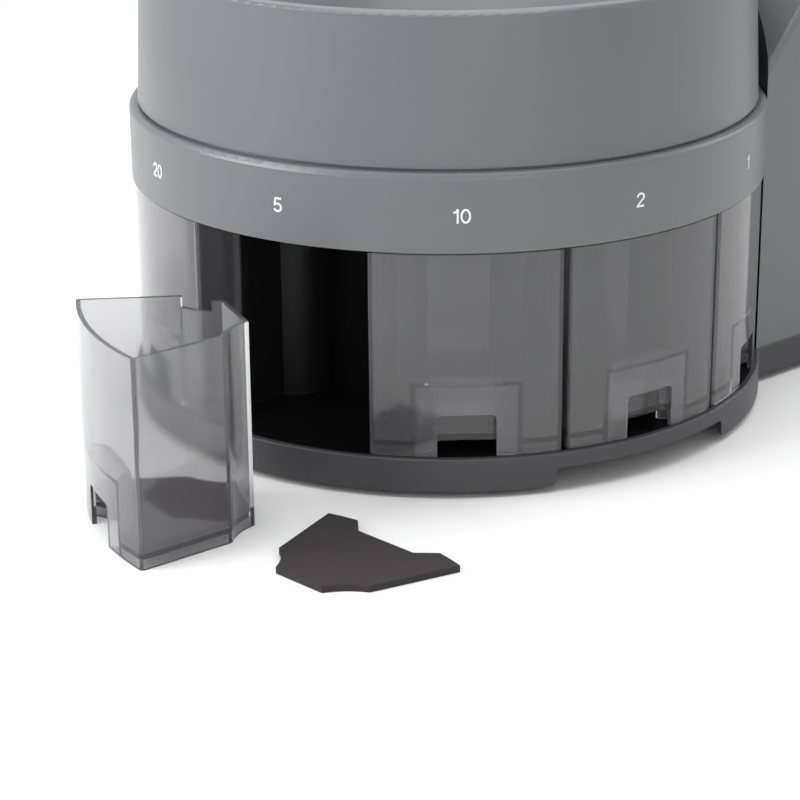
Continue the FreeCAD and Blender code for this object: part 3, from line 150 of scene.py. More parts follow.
class Bench:
    """A material or a world under construction: its node tree and the ways to add to it."""

    def __init__(self, name: str, owner: Optional[bpy.types.World] = None) -> None:
        """Start with an empty node tree, in a new material unless a world is given."""
        self.owner = owner or bpy.data.materials.new(name)
        self.owner.use_nodes = True
        self.tree = self.owner.node_tree
        self.tree.nodes.clear()
        self._spot: Optional[Wire] = None

    def node(self, kind: str, settings: Optional[Dict[str, Any]] = None,
             inputs: Optional[Dict[Union[int, str], Feed]] = None,
             output: Union[int, str, None] = 0) -> Optional[Wire]:
        """Add a node.

        Args:
            kind: Blender's type name of the node.
            settings: Attributes of the node, set before its sockets.
            inputs: Values or wires for the node's sockets, by number or name.
            output: Which output to return, or None for a node without any.

        Returns:
            The chosen output.
        """
        made = self.tree.nodes.new(kind)
        for key, value in (settings or {}).items():
            setattr(made, key, value)
        for key, value in (inputs or {}).items():
            if isinstance(value, Wire):
                self.tree.links.new(value.socket, made.inputs[key])
            else:
                made.inputs[key].default_value = value
        return None if output is None else Wire(self, made.outputs[output])

    @property
    def spot(self) -> Wire:
        """Point on the surface in the piece's own metres."""
        if self._spot is None:
            self._spot = self.node("ShaderNodeTexCoord", output="Object")
        return self._spot

    @property
    def facing(self) -> Wire:
        """Direction that the surface faces."""
        return self.node("ShaderNodeNewGeometry", output="Normal")

    @property
    def radius(self) -> Wire:
        """Distance from the piece's own upright axis."""
        flat = self.node("ShaderNodeVectorMath", {"operation": "MULTIPLY"}, {0: self.spot, 1: (1, 1, 0)})
        return self.node("ShaderNodeVectorMath", {"operation": "LENGTH"}, {0: flat}, output="Value")

    def noise(self, scale: float, detail: float = 2.0, stretch: Sequence[float] = (1, 1, 1)) -> Wire:
        """Noise over the surface.

        Args:
            scale: Waves per metre.
            detail: Number of finer octaves.
            stretch: Factor on each axis.

        Returns:
            The noise, from zero to one.
        """
        place = self.spot
        if tuple(stretch) != (1, 1, 1):
            place = self.node("ShaderNodeVectorMath", {"operation": "MULTIPLY"}, {0: place, 1: stretch})
        return self.node("ShaderNodeTexNoise", {}, {"Vector": place, "Scale": scale, "Detail": detail})

    def blend(self, share: Feed, low: Feed, high: Feed) -> Wire:
        """Mix two colours.

        Args:
            share: Zero for the first colour, one for the second.
            low: First colour, with its fourth number.
            high: Second colour.

        Returns:
            The mixed colour.
        """
        settings = {"data_type": "RGBA"}
        return self.node("ShaderNodeMix", settings, {0: share, 6: low, 7: high}, output=2)

    def tint(self, share: Wire, colour: Colour, spread: Spread) -> Wire:
        """A colour that varies over the surface.

        Args:
            share: Zero to one over the surface.
            colour: Middle colour.
            spread: Its factors where the share is zero and one.

        Returns:
            The varied colour.
        """
        return self.blend(share, shade(colour, spread[0]), shade(colour, spread[1]))

    @staticmethod
    def swing(middle: Feed, noise: Wire, width: float) -> Wire:
        """A value that follows a noise, over a width round its middle."""
        return middle + (noise - 0.5) * width

    def bump(self, height: Feed, depth: float) -> Wire:
        """Normal of a surface raised by a height.

        Args:
            height: Height from zero to one.
            depth: Height of one in metres.

        Returns:
            The normal.
        """
        return self.node("ShaderNodeBump", {}, {"Strength": 1.0, "Distance": depth, "Height": height})

    def seen(self) -> Wire:
        """One where the camera looks straight, by reflection or through clear plastic, else zero."""
        kinds = ("Camera", "Glossy", "Transmission")
        straight, reflected, through = (self.node("ShaderNodeLightPath", output=f"Is {k} Ray") for k in kinds)
        return straight + reflected + through > 0.5

    def close(self, shader: Wire) -> bpy.types.Material:
        """Join a shader to the output.

        Args:
            shader: What the surface or the world shows.

        Returns:
            The owner of the node tree.
        """
        kind = "World" if isinstance(self.owner, bpy.types.World) else "Material"
        self.node(f"ShaderNodeOutput{kind}", {}, {"Surface": shader}, output=None)
        return self.owner

    def finish(self, inputs: Dict[Union[int, str], Feed]) -> bpy.types.Material:
        """Close the material with a Principled shader.

        Args:
            inputs: Values or wires of the shader's sockets.

        Returns:
            The finished material.
        """
        return self.close(self.node("ShaderNodeBsdfPrincipled", {}, inputs))


@dataclass(frozen=True)
class Moulding:
    """Satin plastic with the fine grain of an eroded mould."""

    name: str
    colour: Colour
    roughness: float = 0.42
    shine: float = 0.5
    coat: float = 0.0
    coat_roughness: float = 0.2
    spread: Spread = (0.95, 1.05)
    cloud_scale: float = 14.0
    cloud_swing: float = 0.10
    grain_scale: float = 1500.0
    grain_swing: float = 0.08
    grain_depth: float = 0.004 * MM

    def shader(self, bench: Bench) -> Wire:
        """Add the plastic's shader to a bench."""
        cloud = bench.noise(self.cloud_scale, 3.0)
        grain = bench.noise(self.grain_scale, 2.0)
        rough = bench.swing(self.roughness, cloud, self.cloud_swing)
        return bench.node("ShaderNodeBsdfPrincipled", {}, {
            "Base Color": bench.tint(cloud, self.colour, self.spread),
            "Roughness": bench.swing(rough, grain, self.grain_swing),
            "Specular IOR Level": self.shine,
            "Normal": bench.bump(grain, self.grain_depth),
            "Coat Weight": self.coat,
            "Coat Roughness": self.coat_roughness,
        })

    def make(self) -> bpy.types.Material:
        """Build the material."""
        bench = Bench(self.name)
        return bench.close(self.shader(bench))


@dataclass(frozen=True)
class PaintedShadeDeckMoulding(Moulding):
    """Satin plastic whose upper face inside a circle has another finish, near black: painted shade for the
    shaded floor of the bays.
    """

    # Near black here is painted shade, far darker than the tray's own plastic.
    painted_shade_deck: Moulding = Moulding("painted_shade_deck", (0.002, 0.002, 0.002), 0.5, shine=0.1)
    painted_shade_radius: float = 143.5 * MM

    def make(self) -> bpy.types.Material:
        """Build the material, with the painted shade on the upper face inside the circle."""
        bench = Bench(self.name)
        upward = bench.node("ShaderNodeSeparateXYZ", {}, {0: bench.facing}, output="Z")
        # Mask of the painted shade: faces turned up, inside the circle.
        inside = (upward > 0.5) * (1.0 - (bench.radius > self.painted_shade_radius))
        shaders = {0: inside, 1: self.shader(bench), 2: self.painted_shade_deck.shader(bench)}
        return bench.close(bench.node("ShaderNodeMixShader", {}, shaders))


@dataclass(frozen=True)
class SmokeClear:
    """Clear plastic with a grey smoke tint, a slight haze and faint flow marks."""

    name: str
    colour: Colour
    clear: float = 0.88
    roughness: float = 0.08
    edge: float = 0.0
    edge_shade: float = 0.3
    bend: float = 1.45
    spread: Spread = (0.95, 1.05)
    flow_scale: float = 30.0
    flow_stretch: Tuple[float, float, float] = (1, 1, 0.25)
    flow_swing: float = 0.04

    def make(self) -> bpy.types.Material:
        """Build the material, deeper in tint where the plastic is seen along its face."""
        bench = Bench(self.name)
        flow = bench.noise(self.flow_scale, 3.0, self.flow_stretch)
        tint = bench.tint(flow, self.colour, self.spread)
        along = bench.node("ShaderNodeLayerWeight", {}, {"Blend": 0.5}, output="Facing")
        return bench.finish({
            "Base Color": bench.blend(along ** 2.0 * self.edge, tint, shade(self.colour, self.edge_shade)),
            "Roughness": bench.swing(self.roughness, flow, self.flow_swing),
            "Transmission Weight": self.clear,
            "IOR": self.bend,
        })


@dataclass(frozen=True)
class Foam:
    """Closed-cell foam with small pores, painted slightly darker in their pits: painted shade in the pores.
    """

    name: str
    colour: Colour
    roughness: float = 0.82
    shine: float = 0.3
    spread: Spread = (0.82, 1.14)
    cloud_scale: float = 40.0
    pore_scale: float = 900.0
    pore_wall: Spread = (0.05, 0.5)
    grain_scale: float = 1600.0
    grain_swing: float = 0.12
    depth: float = 0.08 * MM

    def make(self) -> bpy.types.Material:
        """Build the material."""
        bench = Bench(self.name)
        cells = bench.node("ShaderNodeTexVoronoi", {}, {"Vector": bench.spot, "Scale": self.pore_scale})
        cloud = bench.noise(self.cloud_scale, 4.0)
        fine = bench.noise(self.grain_scale, 2.0)
        pore_relief_and_shade = cells.clear_of(*self.pore_wall)
        return bench.finish({
            # The pores' colour is darkened along with their relief: painted shade in the pits.
            "Base Color": bench.tint(cloud * 0.7 + pore_relief_and_shade * 0.3, self.colour, self.spread),
            "Roughness": bench.swing(self.roughness, fine, self.grain_swing),
            "Normal": bench.bump(pore_relief_and_shade * 0.6 + fine * 0.4, self.depth),
            "Specular IOR Level": self.shine,
        })


class Lay(Enum):
    """How a metal surface was worked, with its tool marks per metre."""

    TURNED = 2500.0
    BRUSHED = 900.0
    PLATED = 500.0


@dataclass(frozen=True)
class Metal:
    """Worked metal with tool marks."""

    name: str
    colour: Colour
    lay: Lay
    roughness: float = 0.28
    spread: Spread = (0.9, 1.06)
    cloud_scale: float = 25.0
    brush_stretch: Tuple[float, float, float] = (0.05, 1, 1)
    mark_swing: float = 0.15
    depth: float = 0.01 * MM

    def marks(self, bench: Bench) -> Wire:
        """Tool marks over the surface."""
        if self.lay is Lay.TURNED:
            rings = {"W": bench.radius, "Scale": self.lay.value, "Detail": 2.0}
            return bench.node("ShaderNodeTexNoise", {"noise_dimensions": "1D"}, rings)
        if self.lay is Lay.BRUSHED:
            return bench.noise(self.lay.value, 3.0, self.brush_stretch)
        return bench.noise(self.lay.value, 3.0)

    def make(self) -> bpy.types.Material:
        """Build the material."""
        bench = Bench(self.name)
        marks = self.marks(bench)
        cloud = bench.noise(self.cloud_scale, 3.0)
        return bench.finish({
            "Base Color": bench.tint(cloud, self.colour, self.spread),
            "Metallic": 1.0,
            "Roughness": bench.swing(self.roughness, marks, self.mark_swing),
            "Normal": bench.bump(marks, self.depth),
        })


@dataclass(frozen=True)
class Rubber:
    """Matt rubber with a ground face."""

    name: str
    colour: Colour
    grain_scale: float = 1200.0
    grain_swing: float = 0.2
    roughness: float = 0.78
    spread: Spread = (0.8, 1.25)
    cloud_scale: float = 60.0
    depth: float = 0.05 * MM

    def make(self) -> bpy.types.Material:
        """Build the material."""
        bench = Bench(self.name)
        cloud = bench.noise(self.cloud_scale, 4.0)
        grain = bench.noise(self.grain_scale, 3.0)
        return bench.finish({
            "Base Color": bench.tint(cloud, self.colour, self.spread),
            "Roughness": bench.swing(self.roughness, grain, self.grain_swing),
            "Normal": bench.bump(grain, self.depth),
        })


@dataclass(frozen=True)
class Board:
    """Circuit board with a lacquer and a weave under it."""

    name: str
    colour: Colour
    roughness: float = 0.35
    rough_swing: float = 0.1
    coat: float = 0.4
    spread: Spread = (0.75, 1.4)
    cloud_scale: float = 120.0
    weave_scale: float = 240.0
    weave_gap: float = 0.06

    def make(self) -> bpy.types.Material:
        """Build the material."""
        bench = Bench(self.name)
        threads = {"Vector": bench.spot, "Scale": self.weave_scale, "Mortar Size": self.weave_gap}
        weave = bench.node("ShaderNodeTexBrick", {"offset": 0.5}, threads, output="Fac")
        cloud = bench.noise(self.cloud_scale, 2.0)
        return bench.finish({
            "Base Color": bench.tint(weave * 0.5 + cloud * 0.5, self.colour, self.spread),
            "Roughness": bench.swing(self.roughness, cloud, self.rough_swing),
            "Coat Weight": self.coat,
        })


@dataclass(frozen=True)
class Ink:
    """Thin printed colour."""

    name: str
    colour: Colour
    roughness: float = 0.5
    rough_swing: float = 0.1
    spread: Spread = (0.94, 1.0)
    cloud_scale: float = 400.0

    def make(self) -> bpy.types.Material:
        """Build the material."""
        bench = Bench(self.name)
        cloud = bench.noise(self.cloud_scale, 3.0)
        return bench.finish({
            "Base Color": bench.tint(cloud, self.colour, self.spread),
            "Roughness": bench.swing(self.roughness, cloud, self.rough_swing),
        })


class Finish(Protocol):
    """What a finish can do."""

    def make(self) -> bpy.types.Material:
        """Build the material."""


FINISHES: Dict[str, Finish] = {
    "dark_base": Moulding("dark_base", (0.042, 0.042, 0.046), 0.46),
    # This finish carries painted shade: the floor of the bays is near black.
    "tray_base_painted_shade": PaintedShadeDeckMoulding("tray_base_painted_shade", (0.042, 0.042, 0.046), 0.46),
    "grey_case": Moulding("grey_case", (0.128, 0.132, 0.145), 0.35, shine=0.65),
    "black_core": Moulding("black_core", (0.0015, 0.0015, 0.0015), 0.45, shine=0.05),
    "black_divider": Moulding("black_divider", (0.006, 0.006, 0.007), 0.42, shine=0.25),
    "smoke_clear": SmokeClear("smoke_clear", (0.68, 0.68, 0.70), 0.93, edge=0.6),
    "foam": Foam("foam", (0.034, 0.027, 0.029)),
    "foot_rubber": Rubber("foot_rubber", (0.03, 0.03, 0.03)),
    "steel": Metal("steel", (0.55, 0.56, 0.58), Lay.PLATED),
    "aluminium": Metal("aluminium", (0.70, 0.70, 0.72), Lay.TURNED),
    "brass": Metal("brass", (0.75, 0.58, 0.28), Lay.BRUSHED),
    "white_gear": Moulding("white_gear", (0.70, 0.70, 0.66), 0.45),
    "facing_rubber": Rubber("facing_rubber", (0.05, 0.05, 0.055), 800.0),
    "board": Board("board", (0.03, 0.16, 0.08)),
    "panel_black": Moulding("panel_black", (0.012, 0.012, 0.014), 0.26, coat=0.3),
    "key_grey": Moulding("key_grey", (0.27, 0.28, 0.30), 0.45),
    "lens_clear": SmokeClear("lens_clear", (0.90, 0.93, 0.95), 0.98, 0.02, bend=1.2),
    "display": Moulding("display", (0.24, 0.34, 0.27), 0.5, shine=0.1),
    "print_white": Ink("print_white", (0.80, 0.81, 0.82)),
    "print_grey": Ink("print_grey", (0.30, 0.31, 0.33)),
    "print_dark": Ink("print_dark", (0.015, 0.015, 0.018)),
}


class Paintbox:
    """The finishes as materials, each made once."""

    def __init__(self) -> None:
        """Start with no material made."""
        self._made: Dict[str, bpy.types.Material] = {}

    def get(self, name: str) -> bpy.types.Material:
        """Material of a finish, by its name."""
        if name not in self._made:
            self._made[name] = FINISHES[name].make()
        return self._made[name]

    def dress(self, piece: bpy.types.Object, name: str) -> None:
        """Give a piece one finish all over."""
        piece.data.materials.clear()
        piece.data.materials.append(self.get(name))


PAINT = Paintbox()


def new_piece(name: str, mesh: bpy.types.Mesh, body: str, finish: str) -> bpy.types.Object:
    """Put a finished mesh in the scene.

    Args:
        name: Name of the piece.
        mesh: Its mesh, in metres in the frame.
        body: Body that it rides on.
        finish: Name of its finish.

    Returns:
        The new object.
    """
    piece = bpy.data.objects.new(name, mesh)
    bpy.context.scene.collection.objects.link(piece)
    PAINT.dress(piece, finish)
    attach(piece, body)
    LOG.info("piece %s rides on %s", name, body)
    return piece


def slot_of_nodes() -> Dict[str, str]:
    """Material slot of every node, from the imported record."""
    found: Dict[str, str] = {}
    for part in frame["record"]["subparts"]:
        found[part["node"]] = part["material_slot"]
    return found


@dataclass
class Camera:
    """The photograph's camera, fitted to the base and band edges."""

    place: Tuple[float, float, float] = (0.0, -1.12126, 0.40769)
    lens: float = 112.5
    sensor: float = 36.0
    down: float = 20.423
    right: float = -1.167
    roll: float = -0.484

    def build(self) -> bpy.types.Object:
        """Make the camera and set it as the scene's."""
        down, side, roll = (math.radians(a) for a in (self.down, self.right, self.roll))
        ahead = Vector((math.sin(side) * math.cos(down), math.cos(side) * math.cos(down), -math.sin(down)))
        across = Vector((math.cos(side), -math.sin(side), 0.0))
        upward = across.cross(ahead)
        tilted = across * math.cos(roll) + upward * math.sin(roll)
        raised = upward * math.cos(roll) - across * math.sin(roll)
        axes = Matrix((tilted, raised, -ahead)).transposed().to_4x4()
        data = bpy.data.cameras.new("camera")
        data.lens = self.lens
        data.sensor_width = self.sensor
        camera = bpy.data.objects.new("camera", data)
        bpy.context.scene.collection.objects.link(camera)
        camera.matrix_world = VIEW_SPIN @ Matrix.Translation(self.place) @ axes
        bpy.context.scene.camera = camera
        return camera


@dataclass
class Studio:
    """White floor, pale surround and soft lamps, placed as the camera sees them: right, away and up."""

    floor_half: float = 6.0
    floor_colour: Colour = (0.94, 0.94, 0.94)
    floor_roughness: float = 0.9
    floor_shine: float = 0.1
    floor_fade: Tuple[float, float] = (0.55, 1.1)
    surround: float = 0.50
    aim: Tuple[float, float, float] = (0.05, -0.05, 0.08)
    lamps: List[Tuple[str, Tuple[float, float, float], float, float]] = field(default_factory=lambda: [
        ("left", (-2.15, -0.7, 1.1), 1.6, 53.0),
        ("front", (0.7, -2.1, 0.7), 1.4, 7.0),
        ("right", (2.0, 1.0, 1.2), 1.2, 10.0),
        ("top", (0.0, 0.1, 2.4), 2.0, 38.0),
    ])

    def build(self) -> None:
        """Make the floor, the world and the lamps."""
        self._floor()
        self._world()
        for name, place, size, power in self.lamps:
            self._lamp(name, VIEW_SPIN @ Vector(place), size, power)
        bpy.context.scene.view_settings.view_transform = "Standard"

    def _floor(self) -> None:
        """Make the floor as one large face that turns plain white away from the machine."""
        half = self.floor_half
        mesh = bpy.data.meshes.new("floor")
        corners = [(-half, -half, 0), (half, -half, 0), (half, half, 0), (-half, half, 0)]
        mesh.from_pydata(corners, [], [(0, 1, 2, 3)])
        floor = bpy.data.objects.new("floor", mesh)
        bpy.context.scene.collection.objects.link(floor)
        bench = Bench("floor")
        away = bench.radius.clear_of(*self.floor_fade) * bench.seen()
        paint = bench.node("ShaderNodeBsdfPrincipled", {}, {
            "Base Color": (*self.floor_colour, 1.0),
            "Roughness": self.floor_roughness,
            "Specular IOR Level": self.floor_shine,
        })
        white = bench.node("ShaderNodeEmission", {}, {"Color": WHITE, "Strength": 1.0})
        mixed = bench.node("ShaderNodeMixShader", {}, {0: away, 1: paint, 2: white})
        mesh.materials.append(bench.close(mixed))

    def _world(self) -> None:
        """Make the pale surround, plain white where it is looked at."""
        world = bpy.data.worlds.new("surround")
        world.use_nodes = True
        bench = Bench("surround", world)
        dim = bench.node("ShaderNodeBackground", {}, {"Color": WHITE, "Strength": self.surround})
        white = bench.node("ShaderNodeBackground", {}, {"Color": WHITE, "Strength": 1.0})
        bench.close(bench.node("ShaderNodeMixShader", {}, {0: bench.seen(), 1: dim, 2: white}))
        bpy.context.scene.world = world

    def _lamp(self, name: str, place: Vector, size: float, power: float) -> None:
        """Make one square lamp that faces the machine."""
        data = bpy.data.lights.new(name, "AREA")
        data.size = size
        data.energy = power
        lamp = bpy.data.objects.new(name, data)
        bpy.context.scene.collection.objects.link(lamp)
        lamp.location = place
        lamp.rotation_euler = (Vector(self.aim) - place).to_track_quat("-Z", "Y").to_euler()


@dataclass
class FoamPads:
    """The die-cut foam pads of the cups."""

    soften: float = 0.4 * MM
    soften_steps: int = 2
    soften_profile: float = 0.6
    sharp: float = math.radians(34.0)
    flat: float = math.radians(1.0)
    weld: float = 0.001 * MM

    def build(self) -> None:
        """Make one soft-edged pad in place of each plain one."""
        for node, slot in slot_of_nodes().items():
            if slot == "foam":
                body = frame["nodes"][node]["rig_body"]
                piece = new_piece(f"foam_{node}", self._mesh(node), body, "foam")
                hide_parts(node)

    def _mesh(self, node: str) -> bpy.types.Mesh:
        """Copy of a pad's solid with its edges softened."""
        form = bmesh.new()
        form.from_mesh(frame["nodes"][node].data)
        bmesh.ops.remove_doubles(form, verts=form.verts, dist=self.weld)
        bmesh.ops.dissolve_limit(form, angle_limit=self.flat, verts=form.verts, edges=form.edges)
        edges = [e for e in form.edges if e.is_manifold and e.calc_face_angle(0.0) > self.sharp]
        bmesh.ops.bevel(form, geom=edges, offset=self.soften, segments=self.soften_steps,
                        profile=self.soften_profile, affect="EDGES", clamp_overlap=True)
        mesh = bpy.data.meshes.new(node)
        form.to_mesh(mesh)
        form.free()
        return mesh


def arc(centre: Point, reach: Point, start: float, stop: float, steps: int = 16) -> List[Point]:
    """Points along part of an ellipse.

    Args:
        centre: Middle of the ellipse.
        reach: Half its width and half its height.
        start: First angle in degrees, from the right and anticlockwise.
        stop: Last angle.
        steps: Number of steps between them.

    Returns:
        The points, both ends included.
    """
    angles = [math.radians(start + (stop - start) * i / steps) for i in range(steps + 1)]
    return [(centre[0] + reach[0] * math.cos(a), centre[1] + reach[1] * math.sin(a)) for a in angles]


NUMERALS: Dict[str, Tuple[float, List[List[Point]]]] = {
    "0": (0.74, [arc((0.37, 0.5), (0.28, 0.435), 0, 360, 28)]),
    "1": (0.52, [[(0.36, 0.0), (0.36, 1.0)], [(0.08, 0.755), (0.22, 0.775), (0.32, 0.87), (0.36, 0.99)]]),
    "2": (0.74, [arc((0.37, 0.70), (0.265, 0.23), 185, -32) + [(0.17, 0.17), (0.11, 0.06), (0.66, 0.06)]]),
    "5": (0.74, [[(0.63, 0.94), (0.20, 0.94), (0.13, 0.50)] + arc((0.35, 0.32), (0.28, 0.26), 128, -158)]),
}


class Pen:
    """Draws flat marks, then lays them as thin ink on a surface.

    Attributes:
        MEETS: Distance within which a line's two ends are one point.
        MITRE: Least share of a corner's mitre, which keeps sharp corners short.
    """

    MEETS = 1e-9
    MITRE = 0.5

    def __init__(self, weight: float) -> None:
        """Start with nothing drawn and a line width."""
        self.weight = weight
        self.form = bmesh.new()

    def line(self, points: Sequence[Point]) -> None:
        """Draw a line of even width through points, mitred at its bends."""
        path = [Vector(p) for p in points]
        closed = (path[0] - path[-1]).length < self.MEETS
        if closed:
            path.pop()
        sides = [self._sides(path, i, closed) for i in range(len(path))]
        last = len(path) if closed else len(path) - 1
        for i in range(last):
            here, following = sides[i], sides[(i + 1) % len(path)]
            self.form.faces.new((here[0], here[1], following[1], following[0]))

    def _sides(self, path: List[Vector], i: int, closed: bool) -> List[bmesh.types.BMVert]:
        """Both edge points of the line at one of its points."""
        runs: List[Vector] = []
        if i or closed:
            runs.append((path[i] - path[i - 1]).normalized())
        if closed or i + 1 < len(path):
            runs.append((path[(i + 1) % len(path)] - path[i]).normalized())
        normals = [Vector((-run.y, run.x)) for run in runs]
        middle = sum(normals, Vector((0, 0))).normalized()
        side = middle * (self.weight / 2 / max(middle.dot(normals[0]), self.MITRE))
        return [self.form.verts.new((*spot, 0)) for spot in (path[i] + side, path[i] - side)]

    def fill(self, points: Sequence[Point]) -> None:
        """Draw a filled shape round its corners."""
        self.form.faces.new([self.form.verts.new((*p, 0)) for p in points])

    def number(self, words: str, tall: float) -> None:
        """Draw a number centred on the origin.

        Args:
            words: Its numerals.
            tall: Their height.
        """
        wide = sum(NUMERALS[c][0] for c in words) * tall
        left = -wide / 2
        for numeral in words:
            advance, strokes = NUMERALS[numeral]
            for stroke in strokes:
                self.line([(left + x * tall, (y - 0.5) * tall) for x, y in stroke])
            left += advance * tall

    def lay(self, name: str, proud: float, surface: Callable[[Vector], Vector]) -> bpy.types.Mesh:
        """Thicken the marks and carry them to a surface.

        Args:
            name: Name of the mesh.
            proud: Thickness of the ink.
            surface: Gives the place of a flat point; its third number is the height over the surface.

        Returns:
            The laid mesh.
        """
        bmesh.ops.recalc_face_normals(self.form, faces=self.form.faces)
        raised = bmesh.ops.extrude_face_region(self.form, geom=list(self.form.faces))
        tops = [item for item in raised["geom"] if isinstance(item, bmesh.types.BMVert)]
        bmesh.ops.translate(self.form, verts=tops, vec=(0, 0, proud))
        for vert in self.form.verts:
            vert.co = surface(vert.co.copy())
        bmesh.ops.recalc_face_normals(self.form, faces=self.form.faces)
        mesh = bpy.data.meshes.new(name)
        self.form.to_mesh(mesh)
        self.form.free()
        return mesh


@dataclass
class BandNumbers:
    """Printed numbers round the band, one over each cup."""

    radius: float = 145.0 * MM
    level: float = 123.5 * MM
    tall: float = 6.2 * MM
    weight: float = 0.85 * MM
    proud: float = 0.08 * MM
    first: float = 112.5
    pitch: float = -31.2
    numbers: Tuple[str, ...] = ("1", "2", "10", "5", "20", "1", "50", "2")

    def build(self) -> None:
        """Make every number as its own thin mesh bent round the band."""
        for index, words in enumerate(self.numbers):
            pen = Pen(self.weight)
            pen.number(words, self.tall)
            angle = math.radians(self.first + self.pitch * index)
            name = f"band_number_{index + 1}"
            new_piece(name, pen.lay(name, self.proud, partial(self._round, angle)), "machine", "print_white")

    def _round(self, angle: float, spot: Vector) -> Vector:
        """Place of a flat point on the band, whose middle is at an angle."""
        around = angle + spot.x / self.radius
        reach = self.radius + spot.z
        return Vector((reach * math.sin(around), -reach * math.cos(around), self.level + spot.y))


@dataclass
class PanelMarks:
    """Signs on the keys, figures in the display and the panel's printed lines."""

    tilt: float = math.radians(48.0)
    proud: float = 0.06 * MM
    weight: float = 0.9 * MM
    figures: str = "1250"
    figure_tall: float = 15.0 * MM
    figure_weight: float = 1.3 * MM
    border_half: Point = (83.0 * MM, 27.0 * MM)
    border_turn: float = 3.0 * MM
    border_weight: float = 0.4 * MM

    def build(self) -> None:
        """Make the marks of every key, then those of the display and the panel."""
        for name, draw in self._signs().items():
            pen = Pen(self.weight)
            draw(pen)
            self._put(f"sign_{name}", pen, f"key_{name}", "print_dark")
        pen = Pen(self.figure_weight)
        pen.number(self.figures, self.figure_tall)
        self._put("display_figures", pen, "lcd_module", "print_dark")
        pen = Pen(self.border_weight)
        pen.line(self._border())
        self._put("panel_border", pen, "control_panel", "print_grey")

    def _border(self) -> List[Point]:
        """Closed line with round corners just inside the panel's edge."""
        wide, tall = self.border_half
        turn = self.border_turn
        corners = ((wide, tall, 0), (-wide, tall, 90), (-wide, -tall, 180), (wide, -tall, 270))
        path: List[Point] = []
        for x, y, start in corners:
            centre = (x - math.copysign(turn, x), y - math.copysign(turn, y))
            path += arc(centre, (turn, turn), start, start + 90, 5)
        return path + path[:1]

    def _signs(self) -> Dict[str, Callable[[Pen], None]]:
        """How each key's sign is drawn, in metres round the middle of the key."""
        def shape(*corners: Point) -> Callable[[Pen], None]:
            """A filled shape, its corners in millimetres."""
            return lambda pen: pen.fill([(x * MM, y * MM) for x, y in corners])

        def lines(*paths: Sequence[Point]) -> Callable[[Pen], None]:
            """A few lines, their points in millimetres."""
            def draw(pen: Pen) -> None:
                """Draw them one after another."""
                for path in paths:
                    pen.line([(x * MM, y * MM) for x, y in path])
            return draw

        return {
            "start": shape((-2, -2.6), (2.8, 0), (-2, 2.6)),
            "stop": shape((-2.3, -2.3), (2.3, -2.3), (2.3, 2.3), (-2.3, 2.3)),
            "menu": lines(*([(-2.8, y), (2.8, y)] for y in (-2, 0, 2))),
            "print": lines([(-2, -2.4), (2, -2.4), (2, 2.4), (-2, 2.4), (-2, -2.4)], [(-1, 0.7), (1, 0.7)],
                           [(-1, -0.8), (1, -0.8)]),
            "up": shape((-2.8, -1.6), (2.8, -1.6), (0, 2.2)),
            "down": shape((-2.8, 1.6), (0, -2.2), (2.8, 1.6)),
            "clear": lines([(-2, -2), (2, 2)], [(-2, 2), (2, -2)]),
            "enter": lines([(2.6, 2.2), (2.6, -0.8), (-2.2, -0.8)],
                           [(-0.6, 0.8), (-2.4, -0.8), (-0.6, -2.4)]),
        }

    def _put(self, name: str, pen: Pen, node: str, finish: str) -> None:
        """Lay marks on the middle of a node's face along the panel."""
        carrier = frame["nodes"][node]
        upward = Vector((0, math.cos(self.tilt), math.sin(self.tilt)))
        outward = Vector((0, -math.sin(self.tilt), math.cos(self.tilt)))
        corners = [carrier.matrix_world @ v.co for v in carrier.data.vertices]
        across = sum(axis_range([c.x for c in corners])) / 2
        along = sum(axis_range([c.dot(upward) for c in corners])) / 2
        height = max(c.dot(outward) for c in corners)

        def face(spot: Vector) -> Vector:
            """Place of a flat point on the node's face."""
            return Vector((across + spot.x, 0, 0)) + upward * (along + spot.y) + outward * (height + spot.z)

        new_piece(name, pen.lay(name, self.proud, face), carrier["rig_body"], finish)


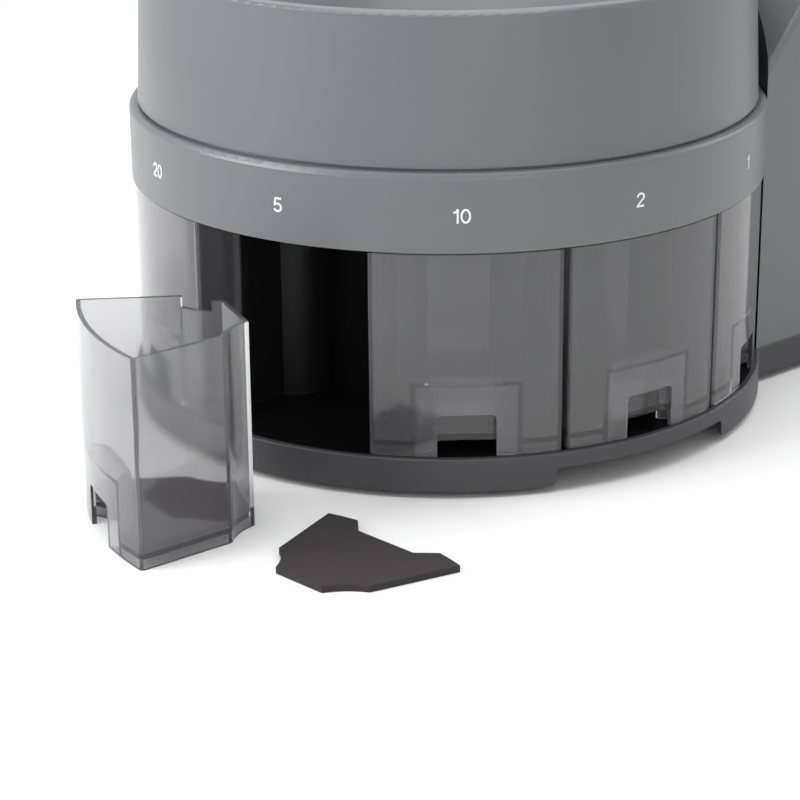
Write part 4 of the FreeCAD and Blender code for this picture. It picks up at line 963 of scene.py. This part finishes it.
@dataclass
class SocketContacts:
    """Sprung contacts in the printer socket."""

    count: int = 6
    pitch: float = 1.4 * MM
    width: float = 0.6 * MM
    drop: float = 2.2 * MM
    wall: float = 2.0 * MM
    length: float = 9.0 * MM
    recess: float = 3.0 * MM

    def build(self) -> None:
        """Make the contacts as one piece that slopes down from the socket's roof."""
        socket = frame["nodes"]["printer_socket"]
        corners = [socket.matrix_world @ v.co for v in socket.data.vertices]
        middle = sum(axis_range([c.x for c in corners])) / 2
        roof = max(c.z for c in corners) - self.wall
        mouth = max(c.y for c in corners) - self.recess
        form = bmesh.new()
        for index in range(self.count):
            across = middle + (index - (self.count - 1) / 2) * self.pitch
            self._contact(form, Vector((across, mouth, roof)))
        mesh = bpy.data.meshes.new("socket_contacts")
        form.to_mesh(mesh)
        form.free()
        new_piece("socket_contacts", mesh, socket["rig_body"], "brass")

    def _contact(self, form: bmesh.types.BMesh, front: Vector) -> None:
        """Add one sloping strip that starts at the roof and ends lower, further in."""
        strip = bmesh.ops.create_cube(form, size=1.0)["verts"]
        slope = math.atan2(self.drop, self.length)
        shape = Matrix.Diagonal((self.width, self.length, self.width, 1.0))
        turn = Matrix.Rotation(slope, 4, "X")
        middle = front + Vector((0, -self.length / 2, -self.drop / 2 - self.width))
        bmesh.ops.transform(form, matrix=Matrix.Translation(middle) @ turn @ shape, verts=strip)


@dataclass
class Solids:
    """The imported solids, which keep their shapes and get their finishes."""

    special: Dict[str, str] = field(default_factory=lambda: {
        # The base tray takes the finish with painted shade on the floor of the bays.
        "base_tray": "tray_base_painted_shade", "bay_dividers": "black_divider",
    })

    def build(self) -> None:
        """Dress every node with the finish of its material slot and even out its shading."""
        slots = slot_of_nodes()
        for name, node in frame["nodes"].items():
            PAINT.dress(node, self.special.get(name, slots[name]))
            even = node.modifiers.new("even_normals", "WEIGHTED_NORMAL")
            even.keep_sharp = True


def main() -> None:
    """Build every part of the scene in order."""
    logging.basicConfig(level=logging.INFO, format="%(message)s")
    Camera().build()
    Studio().build()
    for part in (Solids(), FoamPads(), BandNumbers(), PanelMarks(), SocketContacts()):
        part.build()
        LOG.info("built %s", type(part).__name__)


if __name__ == "__main__":
    main()
